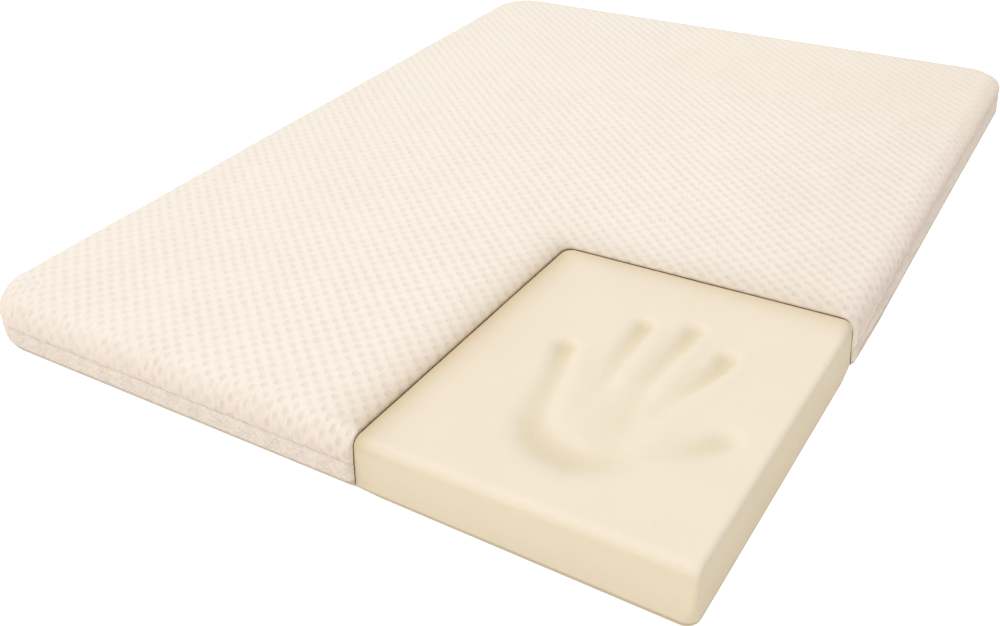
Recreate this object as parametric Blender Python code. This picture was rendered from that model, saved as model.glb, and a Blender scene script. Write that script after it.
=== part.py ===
"""Mattress topper: a moulded foam slab in a two-panel knitted cover.

One corner of the cover is cut away, and the bare foam there keeps the print of a hand.
Metres, +Z up. The origin is on the floor under the middle of the topper, and +Y runs along
its length. The cut-away corner is the one at +X, -Y.
"""

import math

import bmesh
import bpy
from mathutils import Vector

# Overall size
WIDTH = 1.400
LENGTH = 1.900
HEIGHT = 0.105

# Cover, measured inwards from its outline
COVER_CORNER_RADIUS = 0.110
TOP_PAD = 0.0082
BASE_PAD = 0.0035
SHOULDER_RADIUS = 0.045
SHOULDER_START_Z = 0.060
UNDER_RADIUS = 0.027
SHOULDER_START_DEG = 168.0
SEAM_Z = 0.057
SEAM_TUCK = 0.0045
FLAT_INSET = 0.052
INNER_STRAIGHT = 0.008

# The seam groove's sides: share of the tuck that is left, and height from the seam
SEAM_UPPER_SIDE = ((0.35, 0.0022), (0.05, 0.0060))
SEAM_LOWER_SIDE = ((0.30, 0.0025), (0.00, 0.0080))

# Foam core; its sides lean in a little towards the top
CORE_LOW_INSET = 0.0125
CORE_HIGH_INSET = 0.0165
CORE_TOP_RADIUS = 0.018
CORE_UNDER_RADIUS = 0.010
BARE_CORNER_RADIUS = 0.030
CLEARANCE = 0.0003

# Let go by the cover, the bare corner stands a little out of square
BARE_TURN = math.radians(0.75)
BARE_PIVOT = (0.220, -0.500)

# The cut: it starts on the front edge, turns once and ends on the right edge
CUT_FRONT_X = 0.1413
CUT_RIGHT_Y = -0.2920
CUT_FRONT_LEAN = 0.0183
CUT_RIGHT_LEAN = 0.0110
CUT_TURN_RADIUS = 0.020

# The pad's cut edge rolls down onto the foam
CUT_ROLL_REACH = 0.022
CUT_ROLL_STEPS = (0.0, 0.04, 0.14, 0.30, 0.52, 0.76, 1.0)
CUT_EDGE_SHARE = 0.08

# Under the bare corner the foam settles from the base cloth down to the floor
SETTLE_START = 0.001
SETTLE_LENGTH = 0.045

# Slack in the cover's sides: two shallow waves, and a shift from side to side
SLACK_DEPTH = 0.0012
SLACK_WAVES = (
    # rate along the side, phase
    (3.1, 0.6),
    (7.3, 2.2),
)
SLACK_SHIFT = 2.0

# Mesh steps
CORNER_STEPS = 6
ARC_STEPS = 6
SIDE_STEP = 0.150
PRINT_CELL = 0.0080
WELD = 1e-6
SMOOTH_DEG = 40.0

# Handprint: each stroke is a row of points with the reach and the depth of its dip
PRINT_STROKES = {
    "little_finger": (
        # x, y, reach, depth
        (0.297, -0.587, 0.026, 0.0110),
        (0.316, -0.645, 0.027, 0.0080),
        (0.328, -0.697, 0.031, 0.0080),
        (0.334, -0.745, 0.036, 0.0090),
        (0.344, -0.780, 0.040, 0.0100),
    ),
    "ring_finger": (
        (0.381, -0.473, 0.025, 0.0105),
        (0.385, -0.516, 0.026, 0.0080),
        (0.390, -0.566, 0.027, 0.0060),
        (0.397, -0.613, 0.030, 0.0030),
    ),
    "middle_finger": (
        (0.458, -0.447, 0.025, 0.0105),
        (0.458, -0.491, 0.026, 0.0080),
        (0.457, -0.542, 0.027, 0.0070),
        (0.456, -0.598, 0.030, 0.0040),
    ),
    "index_finger": (
        (0.536, -0.493, 0.026, 0.0110),
        (0.529, -0.528, 0.026, 0.0090),
        (0.517, -0.574, 0.028, 0.0070),
        (0.500, -0.617, 0.032, 0.0050),
    ),
    "thumb": (
        (0.594, -0.682, 0.030, 0.0095),
        (0.574, -0.708, 0.030, 0.0080),
        (0.548, -0.735, 0.032, 0.0070),
        (0.515, -0.769, 0.036, 0.0080),
    ),
    "heel": (
        (0.344, -0.780, 0.040, 0.0100),
        (0.354, -0.794, 0.042, 0.0110),
        (0.384, -0.812, 0.043, 0.0115),
        (0.426, -0.820, 0.043, 0.0110),
        (0.465, -0.815, 0.042, 0.0100),
        (0.515, -0.769, 0.036, 0.0080),
    ),
    "palm": (
        (0.457, -0.620, 0.055, 0.0030),
        (0.456, -0.690, 0.075, 0.0032),
        (0.440, -0.760, 0.075, 0.0034),
    ),
}
PRINT_LOW = (0.240, -0.890)
PRINT_HIGH = (0.660, -0.390)


def make_material(name, colour, roughness):
    """A plain Principled material."""
    material = bpy.data.materials.new(name)
    material.use_nodes = True
    shader = material.node_tree.nodes["Principled BSDF"]
    shader.inputs["Base Color"].default_value = (*colour, 1.0)
    shader.inputs["Roughness"].default_value = roughness
    shader.inputs["Metallic"].default_value = 0.0
    return material


def add_object(name, bm, material):
    """Turn a finished bmesh into one named object."""
    bmesh.ops.recalc_face_normals(bm, faces=bm.faces)
    mesh = bpy.data.meshes.new(name)
    bm.to_mesh(mesh)
    bm.free()
    mesh.materials.append(material)
    mesh.shade_smooth()
    mesh.set_sharp_from_angle(angle=math.radians(SMOOTH_DEG))
    obj = bpy.data.objects.new(name, mesh)
    bpy.context.scene.collection.objects.link(obj)
    return obj


def arc(centre, radius, start_deg, end_deg, steps):
    """Points of an arc, both ends included."""
    points = []
    for step in range(steps + 1):
        angle = math.radians(start_deg + (end_deg - start_deg) * step / steps)
        points.append((centre[0] + radius * math.cos(angle), centre[1] + radius * math.sin(angle)))
    return points


# ---------------------------------------------------------------- sections

def core_side(covered):
    """Lowest and highest (inset, z) points of the core's straight side."""
    lift = BASE_PAD + CLEARANCE if covered else 0.0
    top_z = HEIGHT - TOP_PAD - CLEARANCE - CORE_TOP_RADIUS
    return (CORE_LOW_INSET, CORE_UNDER_RADIUS + lift), (CORE_HIGH_INSET, top_z)


def wall_point(z):
    """Point of the cover's inner wall at a height: the core's side and a clearance."""
    (low_inset, low_z), (high_inset, high_z) = core_side(covered=True)
    inset = low_inset + (high_inset - low_inset) * (z - low_z) / (high_z - low_z)
    return inset - CLEARANCE, z


def top_section():
    """Outer and inner (inset, z) points of the upper panel, from the seam up to the flat."""
    outer = [(SEAM_TUCK, SEAM_Z + CLEARANCE / 2)]
    outer += [(SEAM_TUCK * share, SEAM_Z + rise) for share, rise in SEAM_UPPER_SIDE]
    shoulder_centre = (SHOULDER_RADIUS, SHOULDER_START_Z)
    outer += arc(shoulder_centre, SHOULDER_RADIUS, SHOULDER_START_DEG, 90.0, ARC_STEPS + 1)
    outer.append((FLAT_INSET, HEIGHT))
    gap_radius = CORE_TOP_RADIUS + CLEARANCE
    ceiling = HEIGHT - TOP_PAD
    arc_centre = (CORE_HIGH_INSET + CORE_TOP_RADIUS, ceiling - gap_radius)
    inner = [wall_point(z) for _, z in outer[:3]]
    inner.append(wall_point(SHOULDER_START_Z + INNER_STRAIGHT))
    inner += arc(arc_centre, gap_radius, 180.0, 90.0, ARC_STEPS)
    inner.append((FLAT_INSET, ceiling))
    return outer, inner


def base_section():
    """Outer and inner (inset, z) points of the lower band, from the seam down to the flat."""
    outer = [(SEAM_TUCK, SEAM_Z - CLEARANCE / 2)]
    outer += [(SEAM_TUCK * share, SEAM_Z - drop) for share, drop in SEAM_LOWER_SIDE]
    outer.append((0.0, UNDER_RADIUS + INNER_STRAIGHT))
    outer += arc((UNDER_RADIUS, UNDER_RADIUS), UNDER_RADIUS, 180.0, 270.0, ARC_STEPS)
    outer.append((FLAT_INSET, 0.0))
    gap_radius = CORE_UNDER_RADIUS + CLEARANCE
    arc_centre = (CORE_LOW_INSET + CORE_UNDER_RADIUS, BASE_PAD + gap_radius)
    inner = [wall_point(z) for _, z in outer[:4]]
    inner += arc(arc_centre, gap_radius, 180.0, 270.0, ARC_STEPS)
    inner.append((FLAT_INSET, BASE_PAD))
    return outer, inner


# ---------------------------------------------------------------- plan of the cover

def side_stations(start, end, inward):
    """Evenly spaced stations strictly between two points of a straight side."""
    run = Vector(end) - Vector(start)
    count = max(1, round(run.length / SIDE_STEP))
    stations = []
    for step in range(1, count):
        stations.append((Vector(start) + run * step / count, Vector(inward)))
    return stations


def corner_stations(centre, start_deg):
    """Stations round one corner of the cover, both ends of the arc included."""
    stations = []
    for step in range(CORNER_STEPS + 1):
        angle = math.radians(start_deg + 90.0 * step / CORNER_STEPS)
        outward = Vector((math.cos(angle), math.sin(angle)))
        stations.append((Vector(centre) + outward * COVER_CORNER_RADIUS, -outward))
    return stations


def cover_stations():
    """Stations (outline point, inward step) from the right end of the cut round to its front end."""
    half_w = WIDTH / 2
    half_l = LENGTH / 2
    reach_x = half_w - COVER_CORNER_RADIUS
    reach_y = half_l - COVER_CORNER_RADIUS
    right_inward = Vector((-1.0, -CUT_RIGHT_LEAN))
    front_inward = Vector((CUT_FRONT_LEAN, 1.0))
    rolls = [reach for reach, _ in cut_roll()]
    stations = [(Vector((half_w, CUT_RIGHT_Y + roll)), right_inward) for roll in rolls]
    stations += side_stations((half_w, CUT_RIGHT_Y + rolls[-1]), (half_w, reach_y), (-1.0, 0.0))
    stations += corner_stations((reach_x, reach_y), 0.0)
    stations += side_stations((reach_x, half_l), (-reach_x, half_l), (0.0, -1.0))
    stations += corner_stations((-reach_x, reach_y), 90.0)
    stations += side_stations((-half_w, reach_y), (-half_w, -reach_y), (1.0, 0.0))
    stations += corner_stations((-reach_x, -reach_y), 180.0)
    stations += side_stations((-reach_x, -half_l), (CUT_FRONT_X - rolls[-1], -half_l), (0.0, 1.0))
    stations += [(Vector((CUT_FRONT_X - roll, -half_l)), front_inward) for roll in reversed(rolls)]
    return stations


def cut_turn():
    """Centre of the cut's rounded turn, and the directions of its two normals in degrees."""
    right_deg = 90.0 + math.degrees(math.atan(-CUT_RIGHT_LEAN))
    front_deg = 180.0 + math.degrees(math.atan(-CUT_FRONT_LEAN))
    right_normal = Vector((math.cos(math.radians(right_deg)), math.sin(math.radians(right_deg))))
    front_normal = Vector((math.cos(math.radians(front_deg)), math.sin(math.radians(front_deg))))
    right_reach = right_normal.dot(Vector((WIDTH / 2, CUT_RIGHT_Y))) - CUT_TURN_RADIUS
    front_reach = front_normal.dot(Vector((CUT_FRONT_X, -LENGTH / 2))) - CUT_TURN_RADIUS
    spread = right_normal.x * front_normal.y - right_normal.y * front_normal.x
    centre = Vector((
        (right_reach * front_normal.y - front_reach * right_normal.y) / spread,
        (right_normal.x * front_reach - front_normal.x * right_reach) / spread,
    ))
    return centre, right_deg, front_deg


def notch_depth(point):
    """How far a plan point lies inside the cut-away corner; negative under the cover."""
    from_right_cut = CUT_RIGHT_Y - CUT_RIGHT_LEAN * (WIDTH / 2 - point.x) - point.y
    from_front_cut = point.x - CUT_FRONT_X - CUT_FRONT_LEAN * (point.y + LENGTH / 2)
    return min(from_right_cut, from_front_cut)


def slack(point, inward):
    """Shallow waves along the cover's sides."""
    along = point.x * inward.y - point.y * inward.x
    wave = 0.0
    for rate, phase in SLACK_WAVES:
        wave += math.sin(rate * along + phase + SLACK_SHIFT * inward.x)
    return SLACK_DEPTH * (0.5 + 0.5 * wave / len(SLACK_WAVES))


# ---------------------------------------------------------------- cover panels

def cut_roll():
    """Distances from the cut edge, and the share of the pad's thickness that is left at each."""
    roll = []
    for step in CUT_ROLL_STEPS:
        share = CUT_EDGE_SHARE + (1.0 - CUT_EDGE_SHARE) * math.sqrt(1.0 - (1.0 - step) ** 2)
        roll.append((step * CUT_ROLL_REACH, share))
    return roll


def build_panel(name, section, material):
    """One cover panel: a side wall swept along the outline, and a flat with a rolled cut edge."""
    outer, inner = section
    stations = cover_stations()
    last = len(stations) - 1
    edge = len(outer) - 1
    bulge_z = (SEAM_Z + outer[edge][1]) / 2
    bulge_reach = abs(SEAM_Z - outer[edge][1]) / 2
    roll = cut_roll()
    bm = bmesh.new()

    outer_rows = []
    inner_rows = []
    for index, (point, inward) in enumerate(stations):
        share = roll[min(index, last - index, len(roll) - 1)][1]
        outer_row = []
        inner_row = []
        for (out_inset, out_z), (in_inset, in_z) in zip(outer, inner):
            swell = max(0.0, 1.0 - ((out_z - bulge_z) / bulge_reach) ** 2)
            out_plan = point + inward * (out_inset + slack(point, inward) * swell)
            in_plan = point + inward * in_inset
            inner_point = Vector((in_plan.x, in_plan.y, in_z))
            outer_point = inner_point.lerp(Vector((out_plan.x, out_plan.y, out_z)), share)
            outer_row.append(bm.verts.new(outer_point))
            inner_row.append(bm.verts.new(inner_point))
        outer_rows.append(outer_row)
        inner_rows.append(inner_row)

    centre, start_deg, end_deg = cut_turn()
    outer_strips = []
    inner_strips = []
    for step, (reach, share) in enumerate(roll):
        flat_z = inner[edge][1] + (outer[edge][1] - inner[edge][1]) * share
        turn = arc(centre, CUT_TURN_RADIUS + reach, start_deg, end_deg, CORNER_STEPS)
        outer_strip = [outer_rows[step][edge]]
        inner_strip = [inner_rows[step][edge]]
        for x, y in turn:
            outer_strip.append(bm.verts.new((x, y, flat_z)))
            inner_strip.append(bm.verts.new((x, y, inner[edge][1])))
        outer_strip.append(outer_rows[last - step][edge])
        inner_strip.append(inner_rows[last - step][edge])
        outer_strips.append(outer_strip)
        inner_strips.append(inner_strip)

    for rows, strips in ((outer_rows, outer_strips), (inner_rows, inner_strips)):
        skin(bm, rows)
        skin(bm, strips)
        inside = len(strips) - 1
        flat = [row[edge] for row in rows[inside:last - inside + 1]]
        flat += list(reversed(strips[inside][1:-1]))
        bm.faces.new(flat)
    skin(bm, ([row[0] for row in outer_rows], [row[0] for row in inner_rows]))
    skin(bm, (outer_rows[0], inner_rows[0]))
    skin(bm, (outer_rows[last], inner_rows[last]))
    skin(bm, (outer_strips[0], inner_strips[0]))
    return add_object(name, bm, material)


def skin(bm, rows):
    """Quads between neighbouring rows of vertices."""
    for row, next_row in zip(rows, rows[1:]):
        for step in range(len(row) - 1):
            bm.faces.new((row[step], next_row[step], next_row[step + 1], row[step + 1]))


# ---------------------------------------------------------------- foam core

def core_outline(inset):
    """Plan loop of the core; its covered corners are pressed round, its bare one is not."""
    corners = (
        # x side, y side, radius, first angle
        (1.0, -1.0, BARE_CORNER_RADIUS + CORE_LOW_INSET, 270.0),
        (1.0, 1.0, COVER_CORNER_RADIUS, 0.0),
        (-1.0, 1.0, COVER_CORNER_RADIUS, 90.0),
        (-1.0, -1.0, COVER_CORNER_RADIUS, 180.0),
    )
    points = []
    for side_x, side_y, radius, start_deg in corners:
        centre = (side_x * (WIDTH / 2 - radius), side_y * (LENGTH / 2 - radius))
        points += arc(centre, radius - inset, start_deg, start_deg + 90.0, CORNER_STEPS)
    return points


def core_section():
    """(inset, z) points of the core's edge, from the floor up to the top face."""
    (low_inset, low_z), (high_inset, high_z) = core_side(covered=False)
    section = arc((low_inset + CORE_UNDER_RADIUS, low_z), CORE_UNDER_RADIUS, 270.0, 180.0, ARC_STEPS)
    section += arc((high_inset + CORE_TOP_RADIUS, high_z), CORE_TOP_RADIUS, 180.0, 90.0, ARC_STEPS)
    return section


def stroke_depth(point, stroke):
    """Depth that one stroke of the print presses at a plan point."""
    deepest = 0.0
    for (x0, y0, reach0, depth0), (x1, y1, reach1, depth1) in zip(stroke, stroke[1:]):
        start = Vector((x0, y0))
        run = Vector((x1, y1)) - start
        share = max(0.0, min(1.0, (point - start).dot(run) / run.length_squared))
        reach = reach0 + (reach1 - reach0) * share
        depth = depth0 + (depth1 - depth0) * share
        away = (point - start - run * share).length / reach
        if away < 1.0:
            deepest = max(deepest, depth * (1.0 - away * away) ** 2)
    return deepest


def print_depth(point):
    """Depth of the handprint at a plan point, with its strokes run softly together."""
    total = 0.0
    for stroke in PRINT_STROKES.values():
        total += stroke_depth(point, stroke) ** 3
    return total ** (1.0 / 3.0)


def press_print(bm, top_z):
    """Cut a fine grid into the bare part of the top face and press the hand into it."""
    def patch():
        faces = []
        for face in bm.faces:
            middle = face.calc_center_median()
            inside_x = PRINT_LOW[0] < middle.x < PRINT_HIGH[0]
            inside_y = PRINT_LOW[1] < middle.y < PRINT_HIGH[1]
            if inside_x and inside_y and middle.z > top_z - CLEARANCE:
                faces.append(face)
        return faces

    def score(faces, axis, place):
        origin = Vector((0.0, 0.0, 0.0))
        origin[axis] = place
        normal = Vector((0.0, 0.0, 0.0))
        normal[axis] = 1.0
        edges = {edge for face in faces for edge in face.edges}
        verts = {vert for face in faces for vert in face.verts}
        bmesh.ops.bisect_plane(
            bm, geom=list(verts) + list(edges) + faces, dist=WELD, plane_co=origin, plane_no=normal)

    top_faces = [face for face in bm.faces if face.calc_center_median().z > top_z - CLEARANCE]
    for axis in (0, 1):
        for place in (PRINT_LOW[axis], PRINT_HIGH[axis]):
            score(top_faces, axis, place)
            top_faces = [face for face in bm.faces if face.calc_center_median().z > top_z - CLEARANCE]
    for axis in (0, 1):
        cells = round((PRINT_HIGH[axis] - PRINT_LOW[axis]) / PRINT_CELL)
        for cell in range(1, cells):
            score(patch(), axis, PRINT_LOW[axis] + (PRINT_HIGH[axis] - PRINT_LOW[axis]) * cell / cells)
    for vert in {vert for face in patch() for vert in face.verts}:
        vert.co.z -= print_depth(vert.co.xy)


def settle_bare_corner(bm):
    """Lift the covered underside onto the base cloth, and ease the bare corner down and outwards."""
    lift = BASE_PAD + CLEARANCE
    right_normal = Vector((CUT_RIGHT_LEAN, -1.0, 0.0))
    front_normal = Vector((1.0, -CUT_FRONT_LEAN, 0.0))
    for depth in (SETTLE_START, SETTLE_START + SETTLE_LENGTH):
        cuts = (
            (Vector((WIDTH / 2, CUT_RIGHT_Y - depth, 0.0)), right_normal),
            (Vector((CUT_FRONT_X + depth, -LENGTH / 2, 0.0)), front_normal),
        )
        for place, normal in cuts:
            geometry = list(bm.verts) + list(bm.edges) + list(bm.faces)
            bmesh.ops.bisect_plane(bm, geom=geometry, dist=WELD, plane_co=place, plane_no=normal)
    for vert in bm.verts:
        x, y, z = vert.co
        bare = max(0.0, min(1.0, (notch_depth(vert.co.xy) - SETTLE_START) / SETTLE_LENGTH))
        if z < CORE_UNDER_RADIUS + CLEARANCE:
            z += lift * (1.0 - bare)
        turn = BARE_TURN * bare
        vert.co = (x + turn * (y - BARE_PIVOT[1]), y - turn * (x - BARE_PIVOT[0]), z)


def build_core(material):
    """The foam slab, whole under the cover, with the handprint in its bare corner."""
    bm = bmesh.new()
    section = core_section()
    rings = []
    for inset, z in section:
        rings.append([bm.verts.new((x, y, z)) for x, y in core_outline(inset)])
    for ring, next_ring in zip(rings, rings[1:]):
        count = len(ring)
        for step in range(count):
            after = (step + 1) % count
            bm.faces.new((ring[step], ring[after], next_ring[after], next_ring[step]))
    bm.faces.new(list(reversed(rings[0])))
    bm.faces.new(rings[-1])
    settle_bare_corner(bm)
    press_print(bm, section[-1][1])
    return add_object("core", bm, material)


def main():
    """Build the topper's three pieces."""
    for obj in list(bpy.data.objects):
        bpy.data.objects.remove(obj, do_unlink=True)
    foam = make_material("cream_foam", (0.86, 0.78, 0.60), 0.85)
    knit = make_material("ivory_knit", (0.90, 0.83, 0.76), 0.92)
    band = make_material("ivory_band", (0.84, 0.76, 0.69), 0.92)
    build_core(foam)
    build_panel("cover_top", top_section(), knit)
    build_panel("cover_base", base_section(), band)


main()
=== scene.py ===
"""Mattress topper: the foam slab, the padded knit panel, the lower panel and the studio.

Metres, +Z up. The cut-away corner is the one at +X, -Y. Each cloth panel and the foam slab start
as a flat sheet in the cloth's own measures (u across, v along), which is then wrapped over the
edges. What lies past the flat of the sheet runs down the side.
"""
import math

import bpy
import numpy as np
from mathutils import Matrix, Vector


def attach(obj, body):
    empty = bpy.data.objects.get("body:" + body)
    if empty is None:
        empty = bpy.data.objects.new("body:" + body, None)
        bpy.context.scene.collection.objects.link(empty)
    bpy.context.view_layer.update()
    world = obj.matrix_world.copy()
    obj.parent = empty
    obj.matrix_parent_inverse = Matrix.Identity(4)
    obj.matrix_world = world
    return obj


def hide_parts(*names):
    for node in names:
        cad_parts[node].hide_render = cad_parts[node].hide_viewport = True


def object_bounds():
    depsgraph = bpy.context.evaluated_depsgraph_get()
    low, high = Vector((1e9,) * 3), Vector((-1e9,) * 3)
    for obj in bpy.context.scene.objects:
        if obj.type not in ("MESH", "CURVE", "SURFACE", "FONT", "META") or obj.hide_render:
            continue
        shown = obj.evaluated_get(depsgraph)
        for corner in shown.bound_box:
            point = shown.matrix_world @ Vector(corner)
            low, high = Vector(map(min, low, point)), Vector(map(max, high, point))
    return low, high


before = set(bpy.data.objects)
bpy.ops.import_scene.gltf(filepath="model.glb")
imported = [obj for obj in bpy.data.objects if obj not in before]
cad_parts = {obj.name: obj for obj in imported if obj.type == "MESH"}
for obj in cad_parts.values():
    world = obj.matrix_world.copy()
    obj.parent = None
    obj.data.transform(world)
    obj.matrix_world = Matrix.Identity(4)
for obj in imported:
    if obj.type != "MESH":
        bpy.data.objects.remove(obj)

bl_info = {
    "name": "Mattress topper",
    "version": (1, 0, 0),
    "blender": (4, 5, 0),
    "location": "View3D > Sidebar > Topper",
    "description": "Dresses a mattress topper with a cut-away corner",
    "category": "Object",
}

CAD_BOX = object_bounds()

# ---------------------------------------------------------------- sizes shared by the pieces

HALF_W, HALF_L, HEIGHT = (round(reach, 3) for reach in CAD_BOX[1])
CLEARANCE = 0.0003
TINY = 1e-9

# The cover
COVER_CORNER_RADIUS = 0.110
FAR_CORNER_RADIUS = 0.092
TOP_PAD = 0.0082
BASE_PAD = 0.0035
SHOULDER_RADIUS = 0.045
SHOULDER_START_Z = 0.060
SHOULDER_START_DEG = 168.0
UNDER_RADIUS = 0.027
SEAM_Z = 0.060
SEAM_TUCK = 0.0021
UPPER_TUCK = (
    # distance above the seam, share of the tuck
    (0.0062, 0.05),
    (0.0040, 0.14),
    (0.0021, 0.40),
)
LOWER_TUCK = (
    # distance below the seam, share of the tuck
    (0.0100, 0.0),
    (0.0062, 0.04),
    (0.0038, 0.14),
    (0.0019, 0.42),
)

# The foam slab, whose bare corner leans back, turns a little and settles to the floor
CORE_LOW_INSET = 0.0118
CORE_HIGH_INSET = 0.0165
CORE_TOP_RADIUS = 0.018
CRISP_TOP_RADIUS = 0.010
CORE_UNDER_RADIUS = 0.010
BARE_LEAN = 0.010
BARE_LEAN_REACH = 0.085
BARE_LEAN_EASE = 0.050
BARE_TURN = math.radians(0.75)
BARE_PIVOT = (0.220, -0.500)
SETTLE_START = 0.001
SETTLE_LENGTH = 0.045

# The cut: two straight legs with a round turn, and an edge that rolls down onto the foam
CUT_FRONT_X = 0.1413
CUT_FRONT_LEAN = 0.0183
CUT_RIGHT_Y = -0.2920
CUT_RIGHT_LEAN = 0.0110
CUT_TURN_RADIUS = 0.020
CUT_TURN_HOLD = 0.045
CUT_TURN_FADE = 0.140
CUT_ROLL_REACH = 0.022
CUT_SIDE_REACH = 0.0070
CUT_ROLL_STEPS = (0.04, 0.09, 0.14, 0.22, 0.30, 0.52, 0.76, 1.0)
CUT_EDGE_SHARE = 0.08

CORE_TOP_Z = HEIGHT - TOP_PAD - CLEARANCE
CORE_LOW_Z = CORE_UNDER_RADIUS + BASE_PAD + CLEARANCE
CORE_HIGH_Z = CORE_TOP_Z - CORE_TOP_RADIUS

# Handprint: strokes of dips in the foam
PRINT_STROKES = {
    "little_finger": (
        # x, y, reach, depth
        (0.301, -0.575, 0.034, 0.0105),
        (0.309, -0.602, 0.033, 0.0084),
        (0.325, -0.650, 0.034, 0.0062),
        (0.334, -0.700, 0.039, 0.0060),
        (0.342, -0.740, 0.046, 0.0062),
        (0.350, -0.766, 0.052, 0.0060),
    ),
    "ring_finger": (
        (0.387, -0.461, 0.032, 0.0105),
        (0.388, -0.494, 0.032, 0.0088),
        (0.391, -0.548, 0.031, 0.0062),
        (0.397, -0.600, 0.030, 0.0048),
        (0.404, -0.645, 0.028, 0.0028),
    ),
    "middle_finger": (
        (0.463, -0.436, 0.032, 0.0102),
        (0.463, -0.470, 0.032, 0.0086),
        (0.458, -0.526, 0.030, 0.0066),
        (0.456, -0.590, 0.029, 0.0054),
        (0.455, -0.640, 0.032, 0.0038),
    ),
    "index_finger": (
        (0.540, -0.484, 0.032, 0.0106),
        (0.540, -0.510, 0.032, 0.0096),
        (0.529, -0.556, 0.033, 0.0070),
        (0.513, -0.605, 0.033, 0.0048),
        (0.498, -0.655, 0.036, 0.0034),
    ),
    "thumb": (
        (0.607, -0.677, 0.050, 0.0078),
        (0.587, -0.703, 0.050, 0.0064),
        (0.553, -0.737, 0.042, 0.0038),
        (0.520, -0.770, 0.042, 0.0020),
    ),
    "heel": (
        (0.350, -0.766, 0.052, 0.0060),
        (0.366, -0.790, 0.060, 0.0082),
        (0.402, -0.812, 0.064, 0.0084),
        (0.442, -0.816, 0.064, 0.0080),
        (0.476, -0.806, 0.062, 0.0062),
        (0.512, -0.784, 0.058, 0.0038),
    ),
    "palm": (
        (0.461, -0.640, 0.056, 0.0036),
        (0.463, -0.690, 0.066, 0.0048),
        (0.470, -0.740, 0.062, 0.0038),
        (0.482, -0.780, 0.060, 0.0032),
    ),
}
# Foam that stands up a little between the fingers
PRINT_SWELLS = {
    "beside_little_finger": (
        # x, y, reach, rise
        (0.338, -0.585, 0.030, 0.0014),
        (0.362, -0.650, 0.036, 0.0028),
        (0.380, -0.705, 0.042, 0.0020),
    ),
    "beside_ring_finger": (
        (0.418, -0.470, 0.024, 0.0020),
        (0.421, -0.540, 0.024, 0.0022),
        (0.424, -0.610, 0.024, 0.0014),
    ),
    "beside_middle_finger": (
        (0.489, -0.475, 0.022, 0.0016),
        (0.489, -0.540, 0.022, 0.0020),
        (0.487, -0.595, 0.022, 0.0012),
    ),
    "beside_index_finger": (
        (0.567, -0.470, 0.026, 0.0014),
        (0.557, -0.560, 0.026, 0.0016),
        (0.537, -0.640, 0.032, 0.0018),
        (0.526, -0.710, 0.036, 0.0014),
    ),
}
PRINT_DEEPEST = 0.0115

# How far the stitching and the floor draw the cover's ends and sides in, and how far from the outline
# that starts and eases in
DRAW_REACH = 0.110
DRAW_EASE = 0.090
DRAW_IN = (
    # height, at the ends, at the sides
    (0.000, 0.0056, 0.0020),
    (0.010, 0.0044, 0.0014),
    (0.020, 0.0032, 0.0016),
    (0.030, 0.0021, 0.0022),
    (0.045, 0.0010, 0.0038),
    (0.060, 0.0010, 0.0056),
    (0.068, 0.0008, 0.0046),
    (0.078, 0.0003, 0.0024),
    (0.090, 0.0, 0.0006),
)

# How far the cut side is drawn in beside the cut, over what length, and its share by height
CUT_DRAW_IN = 0.0030
CUT_DRAW_LENGTH = 0.160
CUT_DRAW_HEIGHTS = (0.030, 0.090)
CUT_DRAW_SHARES = (1.0, 0.2)

# How far the seam on the cut side runs above or below its usual height. The cloth moves with it up to
# a height, and near the outline only
SEAM_RISE = (
    # place along the side, rise
    (-0.292, -0.016),
    (-0.200, -0.007),
    (-0.080, 0.006),
    (0.020, 0.012),
    (0.400, 0.015),
    (0.800, 0.013),
)
SEAM_RISE_TO_Z = 0.098
SEAM_RISE_REACH = 0.045
SEAM_RISE_EASE = 0.020

# Panel meshes, and how far each ring of a panel's back is drawn in from its border
CELLS_PER_DIMPLE = 4
LOWER_CELL = 0.010
TRIM_MARGIN = 0.020
SCORE_THRESHOLD = 1e-6
WELD_DISTANCE = 2e-5
SMOOTH_DEG = 50.0
UPPER_RINGS = (0.0, 0.0, 0.012, 0.026, 0.036, 0.046, 0.056, 0.070, 0.084)
LOWER_RINGS = (0.0, 0.0, 0.016, 0.032, 0.042, 0.052, 0.062, 0.078)

# Relief of the panels: heights, and the lengths over which they ease in and out
FIRST_ROWS = 0.6
CROSS_ROWS = 0.4
DIMPLES_AT_SEAM = 0.25
DIMPLES_LOST_ON_SIDE = 0.35
UPPER_SLACK = 0.0016
LOWER_SLACK = 0.0010
PUCKER = 0.0006
BED = 0.0006
UPPER_SEAM_EASE = 0.016
LOWER_SEAM_EASE = 0.012
UPPER_SIDE_EASE = 0.030
LOWER_SIDE_START = 0.030
LOWER_SIDE_EASE = 0.015
ROLL_SIDE_EASE = 0.022
END_BLEND = 0.060

# Corner radius of the bare foam, by the run down its side as a share of the whole
BARE_CORNER = (
    # share of the run, radius at the slab's outline
    (0.00, 0.0385),
    (0.17, 0.0280),
    (0.28, 0.0220),
    (0.66, 0.0220),
    (0.90, 0.0345),
)

# Foam mesh: fine in the bare corner, coarse under the cover
FINE_FROM_X = 0.120
FINE_TO_Y = -0.270
FOAM_COARSE = 0.050
TOP_EDGE_ROWS = 9
SIDE_ROWS = 14
UNDER_EDGE_ROWS = 5

# Under the cover the foot of the foam stands further in
FOAM_COVERED_LIFT = 0.010
FOAM_COVERED_LIFT_TO_Z = 0.040
FOAM_COVERED_EASE = 0.030

# Where the crisp upper edge of the right side starts, and how it blends in
CRISP_BLEND = 0.030
CRISP_START = 0.004
CRISP_EASE = 0.070

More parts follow.
